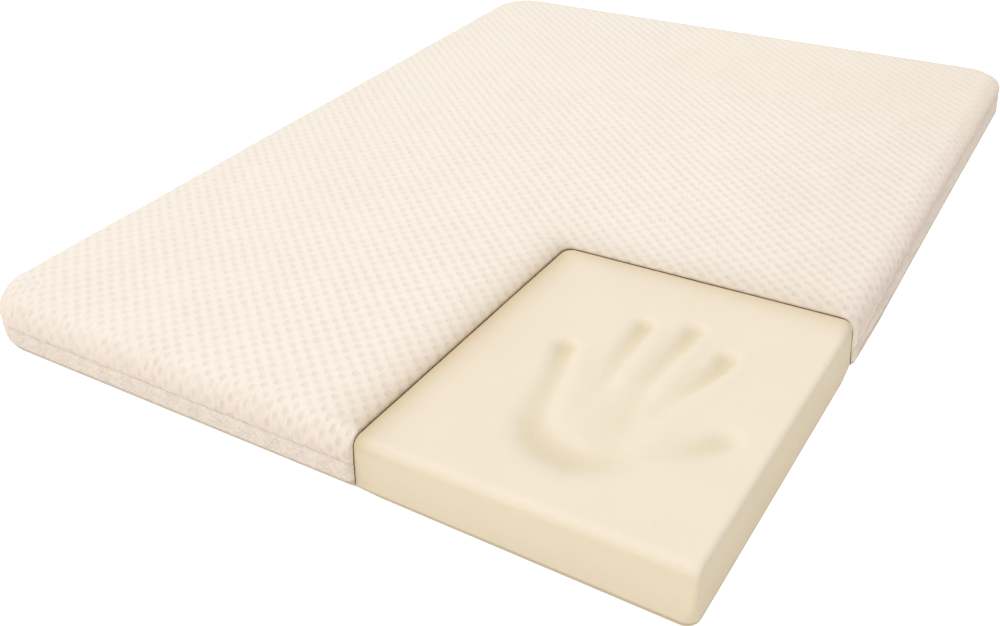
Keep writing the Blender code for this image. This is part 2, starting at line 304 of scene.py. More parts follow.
# The uneven skin of the foam
FOAM_INWARD = 0.005
FOAM_UNEVEN = 0.0007
FOAM_UNEVEN_FROM = 0.4
FOAM_DRIFT = (
    # rate across, rate along, phase
    (23.0, 9.0, 0.2),
    (-14.0, 31.0, 2.7),
    (47.0, -19.0, 1.1),
    (17.0, 53.0, 4.4),
)

# Painted shade beside the cut. Cloth and foam have a length over which it fades, and its share on the right
# leg
CUT_SHADE_HOLD = 0.004
CUT_SHADE_TURN = 0.040
CUT_SIDE_SHADE = 0.15
CLOTH_SHADE = (0.032, 0.60)
FOAM_SHADE = (0.023, 0.75)
FOAM_SHADE_DROP = 0.030

# The dip in the foam beside the cover's cut edge, which is narrower on the sides
GAP_ROWS = (
    # distance from the cut, share of the gap's depth
    (-0.0050, 0.0),
    (-0.0028, 0.15),
    (-0.0014, 0.60),
    (-0.0003, 1.0),
    (0.0014, 0.8),
    (0.0060, 0.0),
)
GAP_NARROWS = 0.0012
GAP_NARROWS_OVER = 0.020

# Floor, light and camera
FLOOR_SIZE = 160.0
FLOOR_Z = -0.0004
FLOOR_GLOW_STRENGTH = 1.08
ROOM_COLOUR = (1.0, 0.995, 0.985, 1.0)
KEY_PLACE = (-1.15, -0.9, 5.4)
KEY_SPREAD_DEG = 36.0
CAMERA_PLACE = (0.9972, -1.8801, 1.1266)
CAMERA_TURNS = (33.18, -32.14, -2.14)
CAMERA_SENSOR = 36.0
CAMERA_NEAREST = 0.05


# ---------------------------------------------------------------- settings

class TopperKnitSettings(bpy.types.PropertyGroup):
    """Sizes and colours of the padded upper panel."""

    pitch_across: bpy.props.FloatProperty(
        name="Pitch across", description="Distance between dimples in a row across the topper",
        default=0.02985, unit="LENGTH")
    pitch_along: bpy.props.FloatProperty(
        name="Pitch along", description="Distance between every second row of dimples",
        default=0.0300, unit="LENGTH")
    skew: bpy.props.FloatProperty(
        name="Skew", description="How far the knit's columns lean, as a share of their length",
        default=0.143)
    depth: bpy.props.FloatProperty(
        name="Dimple depth", description="How deep the dimples are", default=0.0012, unit="LENGTH")
    ridge: bpy.props.FloatVectorProperty(
        name="Ridge colour", description="Colour of the raised knit",
        subtype="COLOR", size=3, default=(0.932, 0.850, 0.752))
    # The dimple colour is painted shade in the dimples
    dimple: bpy.props.FloatVectorProperty(
        name="Dimple colour", description="Colour in the dimples",
        subtype="COLOR", size=3, default=(0.861, 0.781, 0.682))


class TopperBandSettings(bpy.types.PropertyGroup):
    """Sizes and colours of the lower panel."""

    rib: bpy.props.FloatProperty(
        name="Rib pitch", description="Distance between the fine diagonal ribs",
        default=0.0100, unit="LENGTH")
    zigzag: bpy.props.FloatProperty(
        name="Zigzag width", description="Width of one leg of the zigzag that the ribs run in",
        default=0.026, unit="LENGTH")
    light: bpy.props.FloatVectorProperty(
        name="Rib colour", description="Colour of the ribs",
        subtype="COLOR", size=3, default=(0.901, 0.808, 0.706))
    dark: bpy.props.FloatVectorProperty(
        name="Furrow colour", description="Colour between the ribs",
        subtype="COLOR", size=3, default=(0.762, 0.683, 0.597))


class TopperFoamSettings(bpy.types.PropertyGroup):
    """Sizes and colours of the foam slab."""

    cell: bpy.props.FloatProperty(
        name="Mesh cell", description="Size of the mesh cells in the bare corner",
        default=0.0042, unit="LENGTH")
    gap_depth: bpy.props.FloatProperty(
        name="Gap depth", description="How deep the foam dips beside the cut edge of the cover",
        default=0.0018, unit="LENGTH")
    skin: bpy.props.FloatVectorProperty(
        name="Foam colour", description="Colour of the foam", subtype="COLOR", size=3,
        default=(0.868, 0.764, 0.614))
    # The colour in the print's dips is painted shade, deepest where the print is deepest
    dip_and_shade: bpy.props.FloatVectorProperty(
        name="Pressed colour", description="Colour of the foam in the deepest part of the print",
        subtype="COLOR", size=3, default=(0.700, 0.600, 0.400))
    # The gap colour is painted shade in the crevice beside the cover's cut edge
    gap: bpy.props.FloatVectorProperty(
        name="Gap colour", description="Colour in the gap beside the cover",
        subtype="COLOR", size=3, default=(0.540, 0.430, 0.300))


class TopperStageSettings(bpy.types.PropertyGroup):
    """Light, floor and camera."""

    floor: bpy.props.FloatVectorProperty(
        name="Floor colour", description="Colour of the floor", subtype="COLOR", size=3,
        default=(0.25, 0.25, 0.25))
    floor_glow: bpy.props.FloatVectorProperty(
        name="Floor glow", description="Light that the floor gives off, to keep it white",
        subtype="COLOR", size=3, default=(1.0, 0.965, 0.91))
    room: bpy.props.FloatProperty(
        name="Room light", description="Strength of the even light all round", default=0.32, min=0.0)
    key: bpy.props.FloatProperty(
        name="Key light", description="Strength of the broad light from above the near end",
        default=2.44, min=0.0)
    lens: bpy.props.FloatProperty(
        name="Lens", description="Focal length for a 36 mm sensor", default=40.27,
        subtype="DISTANCE_CAMERA", unit="CAMERA")


# ---------------------------------------------------------------- working with a sheet

def read_points(mesh):
    """The mesh's points as rows of x, y, z."""
    flat = np.empty(len(mesh.vertices) * 3, np.float32)
    mesh.vertices.foreach_get("co", flat)
    return flat.reshape(-1, 3).astype(np.float64)


def write_points(mesh, points):
    """Move the mesh's points."""
    mesh.vertices.foreach_set("co", points.astype(np.float32).ravel())
    mesh.update()


def write_value(mesh, name, values):
    """Store one number for each point, for the material to read."""
    attribute = mesh.attributes.new(name, "FLOAT", "POINT")
    attribute.data.foreach_set("value", values.astype(np.float32))


def write_vector(mesh, name, vectors):
    """Store one vector for each point, for the material to read."""
    attribute = mesh.attributes.new(name, "FLOAT_VECTOR", "POINT")
    attribute.data.foreach_set("vector", vectors.astype(np.float32).ravel())


def add_grid(name, columns, rows):
    """A flat grid of that many cells, with whole numbers for its points, counted from the middle."""
    bpy.ops.object.select_all(action="DESELECT")
    bpy.ops.mesh.primitive_grid_add(x_subdivisions=columns, y_subdivisions=rows, size=1.0)
    sheet = bpy.context.object
    sheet.name = name
    sheet.data.name = name
    points = read_points(sheet.data)
    points[:, 0] = np.round((points[:, 0] + 0.5) * columns)
    points[:, 1] = np.round((points[:, 1] + 0.5) * rows)
    write_points(sheet.data, points)
    return sheet


def face_middles(mesh):
    """The middle of each face."""
    flat = np.empty(len(mesh.polygons) * 3, np.float32)
    mesh.polygons.foreach_get("center", flat)
    return flat.reshape(-1, 3)


def edit_faces(sheet, chosen):
    """Go into edit mode with just these faces selected."""
    mesh = sheet.data
    bpy.context.tool_settings.mesh_select_mode = (False, False, True)
    mesh.vertices.foreach_set("select", np.zeros(len(mesh.vertices), bool))
    mesh.edges.foreach_set("select", np.zeros(len(mesh.edges), bool))
    mesh.polygons.foreach_set("select", chosen)
    bpy.ops.object.mode_set(mode="EDIT")


def delete_faces(sheet, chosen):
    """Take these faces out of the sheet."""
    edit_faces(sheet, chosen)
    bpy.ops.mesh.delete(type="FACE")
    bpy.ops.object.mode_set(mode="OBJECT")


def score_sheet(sheet, lines):
    """Score the whole sheet along straight lines, each a point and a direction across it."""
    edit_faces(sheet, np.ones(len(sheet.data.polygons), bool))
    for place, across in lines:
        bpy.ops.mesh.select_all(action="SELECT")
        bpy.ops.mesh.bisect(plane_co=(*place, 0.0), plane_no=(*across, 0.0), threshold=SCORE_THRESHOLD)
    bpy.ops.object.mode_set(mode="OBJECT")


def cut_lines(distance):
    """The two straight legs of the cut, moved that far into the cover."""
    front = (CUT_FRONT_X - distance, -HALF_L), (1.0, -CUT_FRONT_LEAN)
    right = (HALF_W, CUT_RIGHT_Y + distance), (CUT_RIGHT_LEAN, -1.0)
    return [front, right]


def cut_legs(u, v):
    """Distances into the cover from the cut's front leg and from its right leg."""
    from_front = CUT_FRONT_X + CUT_FRONT_LEAN * (v + HALF_L) - u
    from_right = v - CUT_RIGHT_Y + CUT_RIGHT_LEAN * (HALF_W - u)
    return from_front, from_right


def soft_step(share):
    """0 to 1 with an easy start and end."""
    share = np.clip(share, 0.0, 1.0)
    return share * share * (3.0 - 2.0 * share)


def disc_share(major, minor):
    """Where a point of a square lies when the square is drawn in to a disc of that half size."""
    angle = (math.pi / 4) * minor / np.maximum(major, TINY)
    return major * np.cos(angle), major * np.sin(angle)


def draw_round(a, b):
    """Draw squares round a corner in to arcs."""
    long, short = disc_share(np.maximum(a, b), np.minimum(a, b))
    return np.where(a >= b, long, short), np.where(a >= b, short, long)


def round_cut_turn(u, v):
    """Draw the sheet round the turn of the cut. Gives its new place and the distance from the cut."""
    from_front, from_right = cut_legs(u, v)
    a = from_front + CUT_TURN_RADIUS
    b = from_right + CUT_TURN_RADIUS
    round_a, round_b = draw_round(a, b)
    reach = np.maximum(a, b)
    weight = 1.0 - soft_step((reach - CUT_TURN_HOLD) / (CUT_TURN_FADE - CUT_TURN_HOLD))
    weight = np.where((a > 0.0) & (b > 0.0), weight, 0.0)
    new_u = u - weight * (round_a - a)
    new_v = v + weight * (round_b - b)
    return new_u, new_v, np.maximum(from_front, from_right)


def cut_distance(x, y):
    """Distance of a place on the plan from the cut; negative in the bare corner."""
    from_front, from_right = cut_legs(x, y)
    a = from_front + CUT_TURN_RADIUS
    b = from_right + CUT_TURN_RADIUS
    turn = np.hypot(a, b) - CUT_TURN_RADIUS
    return np.where((a > 0.0) & (b > 0.0), turn, np.maximum(from_front, from_right))


def cut_shade(u, v, from_cut, fade, right_share):
    """Shade beside the cut edge: 1 in the gap of the front leg, fading away on both sides of it."""
    front, right = cut_legs(u, v)
    by_front = soft_step(0.5 + (front - right) / CUT_SHADE_TURN)
    strength = right_share + (1.0 - right_share) * by_front
    return strength * np.exp(-np.maximum(np.abs(from_cut), CUT_SHADE_HOLD) / fade)


def cover_corner(u, v):
    """Corner radius of the cover, by the corner that a place lies nearest to."""
    return np.where((u > 0.0) & (v > 0.0), FAR_CORNER_RADIUS, COVER_CORNER_RADIUS)


def wrap_sheet(u, v, flat_inset, corner_radius, inset_of, z_of):
    """Wrap a sheet over the topper's edges. inset_of and z_of follow the side by its run of cloth."""
    side_u = np.sign(u)
    side_v = np.sign(v)
    a = np.abs(u) - (HALF_W - corner_radius)
    b = np.abs(v) - (HALF_L - corner_radius)
    corner = (a > 0.0) & (b > 0.0)
    run_u = np.abs(u) - (HALF_W - flat_inset)
    run_v = np.abs(v) - (HALF_L - flat_inset)
    run = np.where(corner, np.maximum(a, b) - (corner_radius - flat_inset), np.maximum(run_u, run_v))
    inset = inset_of(run)
    over = run > 0.0
    x = np.where(~corner & over & (run_u >= run_v), side_u * (HALF_W - inset), u)
    y = np.where(~corner & over & (run_v > run_u), side_v * (HALF_L - inset), v)
    round_a, round_b = draw_round(a, b)
    scale = np.where(over, (corner_radius - inset) / np.maximum(np.maximum(a, b), TINY), 1.0)
    x = np.where(corner, side_u * (HALF_W - corner_radius + round_a * scale), x)
    y = np.where(corner, side_v * (HALF_L - corner_radius + round_b * scale), y)
    return np.stack([x, y, z_of(run)], axis=1), run


def run_lengths(points):
    """Distance along a row of points from its first one."""
    steps = np.hypot(np.diff(points[:, 0]), np.diff(points[:, 1]))
    return np.concatenate([[0.0], np.cumsum(steps)])


def arc_points(centre, radius, start_deg, end_deg, steps):
    """(inset, z) points of an arc."""
    angles = np.radians(np.linspace(start_deg, end_deg, steps + 1))
    return [(centre[0] + radius * math.cos(t), centre[1] + radius * math.sin(t)) for t in angles]


class Profile:
    """A row of (inset, z) points, read by the run of cloth from the edge of the flat."""

    def __init__(self, points, length=None):
        self.points = np.array(points)
        self.runs = run_lengths(self.points)
        if length is not None:
            self.runs = self.runs * length / self.runs[-1]
        self.length = self.runs[-1]

    def inset(self, run):
        """Distance in from the topper's outline. On the flat it grows as the run falls below 0."""
        on_flat = self.points[0, 0] - run
        return np.where(run < 0.0, on_flat, np.interp(run, self.runs, self.points[:, 0]))

    def z(self, run):
        """Height."""
        return np.interp(run, self.runs, self.points[:, 1])

    def moved_in(self, distance):
        """The same profile, moved in from its surface."""
        along = np.gradient(self.points, self.runs, axis=0)
        along /= np.linalg.norm(along, axis=1)[:, None]
        inner = Profile(self.points)
        inner.points = self.points + distance * np.stack([-along[:, 1], along[:, 0]], axis=1)
        return inner


def core_inset(z):
    """Inset of the foam's side at a height."""
    share = (z - CORE_LOW_Z) / (CORE_HIGH_Z - CORE_LOW_Z)
    return CORE_LOW_INSET + (CORE_HIGH_INSET - CORE_LOW_INSET) * share


def drift(x, y, rows):
    """Slow uneven waves from a table of rates and phases, about -1 to 1."""
    total = 0.0
    for rate_x, rate_y, phase in rows:
        total = total + np.sin(rate_x * x + rate_y * y + phase)
    return total / len(rows)


SLOW_DRIFT = (
    # rate across, rate along, phase
    (6.1, 2.3, 0.4),
    (-3.7, 5.9, 1.9),
    (9.7, -7.1, 4.1),
    (2.9, 11.3, 2.6),
)
QUICK_DRIFT = (
    (61.0, 23.0, 1.4),
    (-37.0, 71.0, 0.3),
    (93.0, -48.0, 5.2),
    (29.0, 113.0, 3.6),
)


# ---------------------------------------------------------------- cloth panels

def upper_profiles():
    """Outer and inner profile of the upper panel's side, from the flat down to the seam."""
    centre = (SHOULDER_RADIUS, SHOULDER_START_Z)
    outer = arc_points(centre, SHOULDER_RADIUS, 90.0, SHOULDER_START_DEG, steps=20)
    outer += [(SEAM_TUCK * share, SEAM_Z + above) for above, share in UPPER_TUCK]
    outer.append((SEAM_TUCK, SEAM_Z + CLEARANCE / 2))
    outer = Profile(outer)
    ceiling = HEIGHT - TOP_PAD
    radius = CORE_TOP_RADIUS + CLEARANCE
    inner = [(SHOULDER_RADIUS, ceiling)]
    inner += arc_points((CORE_HIGH_INSET + CORE_TOP_RADIUS, ceiling - radius), radius, 90.0, 180.0, steps=8)
    inner.append((core_inset(SEAM_Z) - CLEARANCE, SEAM_Z + CLEARANCE / 2))
    return outer, Profile(inner, length=outer.length)


def lower_profiles():
    """Outer and inner profile of the lower panel's side, from the underside up to the seam."""
    outer = arc_points((UNDER_RADIUS, UNDER_RADIUS), UNDER_RADIUS, 270.0, 180.0, steps=12)
    outer += [(SEAM_TUCK * share, SEAM_Z - below) for below, share in LOWER_TUCK]
    outer.append((SEAM_TUCK, SEAM_Z - CLEARANCE / 2))
    outer = Profile(outer)
    radius = CORE_UNDER_RADIUS + CLEARANCE
    centre = (CORE_LOW_INSET + CORE_UNDER_RADIUS, BASE_PAD + radius)
    inner = [(UNDER_RADIUS, BASE_PAD)]
    inner += arc_points(centre, radius, 270.0, 180.0, steps=6)
    inner.append((core_inset(SEAM_Z) - CLEARANCE, SEAM_Z - CLEARANCE / 2))
    return outer, Profile(inner, length=outer.length)


def sheet_halves(flat_inset, length):
    """Half the width and half the length of a panel's flat sheet."""
    return HALF_W - flat_inset + length, HALF_L - flat_inset + length


def trim_to_cover(sheet, half_u, half_v):
    """Cut a flat sheet to the cover's developed outline, with extra scores beside the cut."""
    middles = face_middles(sheet.data)
    front, right = cut_legs(middles[:, 0], middles[:, 1])
    past_u = np.abs(middles[:, 0]) > half_u + TRIM_MARGIN
    past_v = np.abs(middles[:, 1]) > half_v + TRIM_MARGIN
    delete_faces(sheet, past_u | past_v | (np.maximum(front, right) < -TRIM_MARGIN))
    lines = [((half_u, 0.0), (1.0, 0.0)), ((-half_u, 0.0), (1.0, 0.0))]
    lines += [((0.0, half_v), (0.0, 1.0)), ((0.0, -half_v), (0.0, 1.0))]
    for step in (0.0, *CUT_ROLL_STEPS):
        lines += cut_lines(CUT_ROLL_REACH * step)
    score_sheet(sheet, lines)
    middles = face_middles(sheet.data)
    front, right = cut_legs(middles[:, 0], middles[:, 1])
    outside = (np.abs(middles[:, 0]) > half_u) | (np.abs(middles[:, 1]) > half_v)
    delete_faces(sheet, outside | (np.maximum(front, right) < 0.0))


def select_border():
    """In edit mode, select the open border of the mesh."""
    bpy.ops.mesh.select_all(action="DESELECT")
    bpy.ops.mesh.select_non_manifold(
        extend=False, use_wire=False, use_boundary=True, use_multi_face=False,
        use_non_contiguous=False, use_verts=False)


def close_sheet(back_rings):
    """Carry the sheet's border round to its back in rings, one metre down each, and fill the last."""
    bpy.context.tool_settings.mesh_select_mode = (False, True, False)
    bpy.ops.object.mode_set(mode="EDIT")
    bpy.ops.mesh.select_all(action="SELECT")
    bpy.ops.mesh.remove_doubles(threshold=WELD_DISTANCE)
    select_border()
    for _ in range(back_rings):
        bpy.ops.mesh.extrude_region_move(TRANSFORM_OT_translate={"value": (0.0, 0.0, -1.0)})
    bpy.ops.mesh.edge_face_add()
    bpy.ops.object.mode_set(mode="OBJECT")


def finish_piece(piece):
    """Point the faces outwards, shade the piece and leave it at the origin."""
    bpy.context.tool_settings.mesh_select_mode = (False, False, True)
    bpy.ops.object.mode_set(mode="EDIT")
    bpy.ops.mesh.select_all(action="SELECT")
    bpy.ops.mesh.normals_make_consistent(inside=False)
    bpy.ops.object.mode_set(mode="OBJECT")
    bpy.ops.object.shade_smooth_by_angle(angle=math.radians(SMOOTH_DEG))
    for layer in list(piece.data.uv_layers):
        piece.data.uv_layers.remove(layer)
    if any(edge.is_loose for edge in piece.data.edges):
        raise RuntimeError(f"{piece.name} has a loose edge")


def draw_sides(points):
    """Draw the cover's ends and sides in, by their height."""
    x, y, z = points.T
    heights, at_ends, at_sides = np.array(DRAW_IN).T
    near_end = soft_step((np.abs(y) - HALF_L + DRAW_REACH) / DRAW_EASE)
    near_side = soft_step((np.abs(x) - HALF_W + DRAW_REACH) / DRAW_EASE)
    near_cut = soft_step((CUT_RIGHT_Y + CUT_DRAW_LENGTH - y) / CUT_DRAW_LENGTH) * (x > 0.0)
    beside_cut = CUT_DRAW_IN * near_cut * np.interp(z, CUT_DRAW_HEIGHTS, CUT_DRAW_SHARES)
    x = x - np.sign(x) * near_side * (np.interp(z, heights, at_sides) + beside_cut)
    y = y - np.sign(y) * near_end * np.interp(z, heights, at_ends)
    return np.stack([x, y, z], axis=1)


def move_seam(points):
    """Raise and lower the seam along the cut side, with the cloth above and below it."""
    x, y, z = points.T
    places, rises = np.array(SEAM_RISE).T
    share = np.interp(z, (0.0, BASE_PAD, SEAM_Z, SEAM_RISE_TO_Z), (0.0, 0.0, 1.0, 0.0))
    near_side = soft_step((x - HALF_W + SEAM_RISE_REACH) / SEAM_RISE_EASE)
    return np.stack([x, y, z + near_side * share * np.interp(y, places, rises)], axis=1)


def drawn_back(u, v, draw_in, half_u, half_v):
    """Draw a panel's back in from its outline and from both legs of the cut."""
    front, right = cut_legs(u, v)
    cut_u = u + front
    cut_v = v - right
    left_part = (u + half_u) / (cut_u + half_u)
    far_part = (v - cut_v) / (half_v - cut_v)
    new_left = -half_u + draw_in + left_part * (cut_u + half_u - 2.0 * draw_in)
    new_far = cut_v + draw_in + far_part * (half_v - cut_v - 2.0 * draw_in)
    new_u = np.where(u <= cut_u, new_left, u - draw_in)
    new_v = np.where(v <= cut_v, v + draw_in, new_far)
    return new_u, new_v


def store_panel_values(sheet, u, v, run, length, from_cut, over_side):
    """Store what the cloth's finish reads: its measures, and how near the cut, the seam and the ends are."""
    write_vector(sheet.data, "cloth", np.stack([u, v, run], axis=1))
    write_value(sheet.data, "from_cut", from_cut)
    write_value(sheet.data, "from_seam", length - run)
    at_end = (np.abs(v) - HALF_L) - (np.abs(u) - HALF_W)
    write_value(sheet.data, "at_end", soft_step(0.5 + at_end / END_BLEND))
    shade = cut_shade(u, v, from_cut, *CLOTH_SHADE) * (1.0 + (CUT_SIDE_SHADE - 1.0) * over_side)
    write_value(sheet.data, "cut_shade", shade)


def shape_panel(sheet, profiles, flat_inset, rings, relief):
    """Wrap a trimmed and closed sheet into a panel with a rolled cut edge."""
    outer, inner = profiles
    flat = read_points(sheet.data)
    ring = np.round(-flat[:, 2]).astype(int)
    halves = sheet_halves(flat_inset, outer.length)
    u, v = drawn_back(flat[:, 0], flat[:, 1], np.array(rings)[ring], *halves)

    # The outside and the lining of the panel
    plan_u, plan_v, from_cut = round_cut_turn(u, v)
    corner = cover_corner(plan_u, plan_v)
    out_points, run = wrap_sheet(plan_u, plan_v, flat_inset, corner, outer.inset, outer.z)
    out_points = move_seam(draw_sides(out_points))
    in_points, _ = wrap_sheet(plan_u, plan_v, flat_inset, corner, inner.inset, inner.z)
    in_points = move_seam(in_points)
    thickness = out_points - in_points

    # The edge of the cut rolls down in a quarter round, and the back lies on the lining
    over_side = soft_step(run / ROLL_SIDE_EASE)
    reach = CUT_ROLL_REACH + (CUT_SIDE_REACH - CUT_ROLL_REACH) * over_side
    step = np.clip(from_cut / reach, 0.0, 1.0)
    share = CUT_EDGE_SHARE + (1.0 - CUT_EDGE_SHARE) * np.sqrt(1.0 - (1.0 - step) ** 2)
    points = in_points + thickness * np.where(ring == 0, share, 0.0)[:, None]
    outward = thickness / np.maximum(np.linalg.norm(thickness, axis=1), TINY)[:, None]
    rise = relief(u, v, run, outer.length) * np.where(ring == 0, step, 0.0)
    write_points(sheet.data, points + outward * rise[:, None])
    store_panel_values(sheet, u, v, run, outer.length, from_cut, over_side)


def start_panel(name, halves, cells, skew, spare_cells, rings):
    """A sheet cut to a panel's developed outline, scored beside the cut and closed at its back."""
    half_u, half_v = halves
    cell_u, cell_v = cells
    reach_u = math.ceil((half_u + skew * half_v) / cell_u) + spare_cells
    reach_v = math.ceil(half_v / cell_v) + spare_cells
    panel = add_grid(name, 2 * reach_u, 2 * reach_v)
    points = read_points(panel.data)
    v = (points[:, 1] - reach_v) * cell_v
    u = (points[:, 0] - reach_u) * cell_u - skew * v
    write_points(panel.data, np.stack([u, v, np.zeros(len(u))], axis=1))
    trim_to_cover(panel, half_u, half_v)
    close_sheet(len(rings) - 1)
    return panel


def build_upper_panel(settings):
    """The padded knit panel with its dimples."""
    outer, inner = upper_profiles()
    halves = sheet_halves(SHOULDER_RADIUS, outer.length)
    cells = settings.pitch_across / CELLS_PER_DIMPLE, settings.pitch_along / CELLS_PER_DIMPLE
    panel = start_panel("upper_panel", halves, cells, settings.skew, 2, UPPER_RINGS)

    def relief(u, v, run, length):
        """Height of the dimples, the slack and the puckers of the knit."""
        s = (u + settings.skew * v) / settings.pitch_across
        t = v / settings.pitch_along
        turn = 2 * math.pi
        lattice = FIRST_ROWS * np.cos(turn * (s + t)) + CROSS_ROWS * np.cos(turn * (s - t))
        dimple = np.clip((lattice + 1.0) / 2.0, 0.0, 1.0) ** 2
        off_seam = soft_step((length - run) / UPPER_SEAM_EASE)
        side = soft_step(run / UPPER_SIDE_EASE)
        dimple *= DIMPLES_AT_SEAM + (1.0 - DIMPLES_AT_SEAM) * off_seam
        dimple *= 1.0 - DIMPLES_LOST_ON_SIDE * side
        slow = drift(u, v, SLOW_DRIFT)
        slack = -UPPER_SLACK * (0.5 + 0.5 * slow) * side * off_seam
        pucker = PUCKER * drift(u, v, QUICK_DRIFT) * side
        return slack + pucker + BED * slow * (1.0 - side) - settings.depth * dimple

    shape_panel(panel, (outer, inner), SHOULDER_RADIUS, UPPER_RINGS, relief)
    finish_piece(panel)
    return panel


def build_lower_panel():
    """The plainer panel under the seam, with the cloth beneath the foam."""
    outer, inner = lower_profiles()
    halves = sheet_halves(UNDER_RADIUS, outer.length)
    panel = start_panel("lower_panel", halves, (LOWER_CELL, LOWER_CELL), 0.0, 1, LOWER_RINGS)

    def relief(u, v, run, length):
        """Height of the slack and the puckers of the band."""
        side = soft_step((run - LOWER_SIDE_START) / LOWER_SIDE_EASE)
        off_seam = soft_step((length - run) / LOWER_SEAM_EASE)
        slack = -LOWER_SLACK * (0.5 + 0.5 * drift(u, v, SLOW_DRIFT)) * off_seam
        return (slack + PUCKER * drift(u, v, QUICK_DRIFT)) * side

    shape_panel(panel, (outer, inner), UNDER_RADIUS, LOWER_RINGS, relief)
    finish_piece(panel)
    return panel


# ---------------------------------------------------------------- foam slab

def stroke_depth(x, y, stroke):
    """Depth of one stroke at places on the plan."""
    deepest = np.zeros(len(x))
    for (x0, y0, reach0, depth0), (x1, y1, reach1, depth1) in zip(stroke, stroke[1:]):
        run_x, run_y = x1 - x0, y1 - y0
        share = ((x - x0) * run_x + (y - y0) * run_y) / (run_x ** 2 + run_y ** 2)
        share = np.clip(share, 0.0, 1.0)
        reach = reach0 + (reach1 - reach0) * share
        depth = depth0 + (depth1 - depth0) * share
        away = np.hypot(x - x0 - run_x * share, y - y0 - run_y * share) / reach
        dip = depth * (1.0 - np.minimum(away, 1.0) ** 2) ** 3
        deepest = np.maximum(deepest, dip)
    return deepest


def print_depth(x, y):
    """Depth of the handprint at places on the plan, with its strokes run softly together."""
    dips = np.cbrt(sum(stroke_depth(x, y, stroke) ** 3 for stroke in PRINT_STROKES.values()))
    swells = sum(stroke_depth(x, y, swell) for swell in PRINT_SWELLS.values())
    return dips - swells


def foam_profile(top_radius, length=None):
    """(inset, z) profile of the foam's side, from the top face round to the underside."""
    centre = (CORE_HIGH_INSET + top_radius, CORE_TOP_Z - top_radius)
    points = [(CORE_HIGH_INSET + CORE_TOP_RADIUS, CORE_TOP_Z)] if top_radius < CORE_TOP_RADIUS else []
    points += arc_points(centre, top_radius, 90.0, 180.0, steps=16)
    under_centre = (CORE_LOW_INSET + CORE_UNDER_RADIUS, CORE_UNDER_RADIUS)
    points += arc_points(under_centre, CORE_UNDER_RADIUS, 180.0, 270.0, steps=10)
    return Profile(points, length=length)


def side_rows(profile):
    """Rows down the foam's side, close together round its two edges."""
    top_run = CORE_TOP_RADIUS * math.pi / 2
    under_run = profile.length - CORE_UNDER_RADIUS * math.pi / 2
    top_edge = np.linspace(0.0, top_run, TOP_EDGE_ROWS + 1)[1:]
    side = np.linspace(top_run, under_run, SIDE_ROWS + 1)[1:]
    under_edge = np.linspace(under_run, profile.length, UNDER_EDGE_ROWS + 1)[1:]
    return np.concatenate([top_edge, side, under_edge])


def sheet_lines(flat_half, fine_low, fine_high, cell, coarse, sides):
    """Line places across a sheet: fine between two places of the flat, coarse elsewhere, then the sides."""
    parts = [np.linspace(fine_low, fine_high, round((fine_high - fine_low) / cell) + 1)]
    if fine_low > -flat_half:
        parts.insert(0, np.linspace(-flat_half, fine_low, round((fine_low + flat_half) / coarse) + 1)[:-1])
    if fine_high < flat_half:
        parts.append(np.linspace(fine_high, flat_half, round((flat_half - fine_high) / coarse) + 1)[1:])
    return np.concatenate([-flat_half - sides[::-1], *parts, flat_half + sides])


def fill_underside(slab):
    """Fill the foam's underside and score it where the bare corner settles to the floor."""
    bpy.context.tool_settings.mesh_select_mode = (False, True, False)
    bpy.ops.object.mode_set(mode="EDIT")
    select_border()
    bpy.ops.mesh.edge_face_add()
    for distance in (-SETTLE_START, -SETTLE_START - SETTLE_LENGTH):
        for place, across in cut_lines(distance):
            bpy.ops.mesh.bisect(plane_co=(*place, 0.0), plane_no=(*across, 0.0), threshold=SCORE_THRESHOLD)
            bpy.ops.object.mode_set(mode="OBJECT")
            mesh = slab.data
            low = np.array([polygon.center.z < CLEARANCE for polygon in mesh.polygons])
            edit_faces(slab, low)
    bpy.ops.object.mode_set(mode="OBJECT")


def bare_lean(points):
    """How far the bare front leans back: 0 at the floor and beside the cover, 1 at the top corner."""
    x, y, z = points.T
    along = np.clip((x - CUT_FRONT_X) / (HALF_W - CUT_FRONT_X - CORE_HIGH_INSET), 0.0, 1.0)
    near_front = soft_step((-HALF_L + BARE_LEAN_REACH - y) / BARE_LEAN_EASE)
    return along * near_front * np.clip(z / CORE_TOP_Z, 0.0, 1.0)


def settle_foam(points):
    """Lift the covered underside onto the base cloth, and ease the bare corner down and outwards."""
    x, y, z = points.T
    front, right = cut_legs(x, y)
    bare = np.clip((np.minimum(-front, -right) - SETTLE_START) / SETTLE_LENGTH, 0.0, 1.0)
    low = z < CORE_UNDER_RADIUS + CLEARANCE
    z = z + np.where(low, (BASE_PAD + CLEARANCE) * (1.0 - bare), 0.0)
    turn = BARE_TURN * bare
    return np.stack([x + turn * (y - BARE_PIVOT[1]), y - turn * (x - BARE_PIVOT[0]), z], axis=1)


def store_foam_values(slab):
    """Store what the foam's finish reads: the print, the height and the distance from the cut."""
    points = read_points(slab.data)
    x, y = points[:, 0], points[:, 1]
    on_top = points[:, 2] > CORE_HIGH_Z
    write_value(slab.data, "dip_and_shade", np.where(on_top, print_depth(x, y), 0.0) / PRINT_DEEPEST)
    write_value(slab.data, "height", points[:, 2])
    from_cut = cut_distance(x, y)
    write_value(slab.data, "from_cut", from_cut)
    below_top = soft_step((CORE_TOP_Z - points[:, 2]) / FOAM_SHADE_DROP)
    shade = cut_shade(x, y, from_cut, *FOAM_SHADE) * (1.0 + (CUT_SIDE_SHADE - 1.0) * below_top)
    write_value(slab.data, "cut_shade", shade)


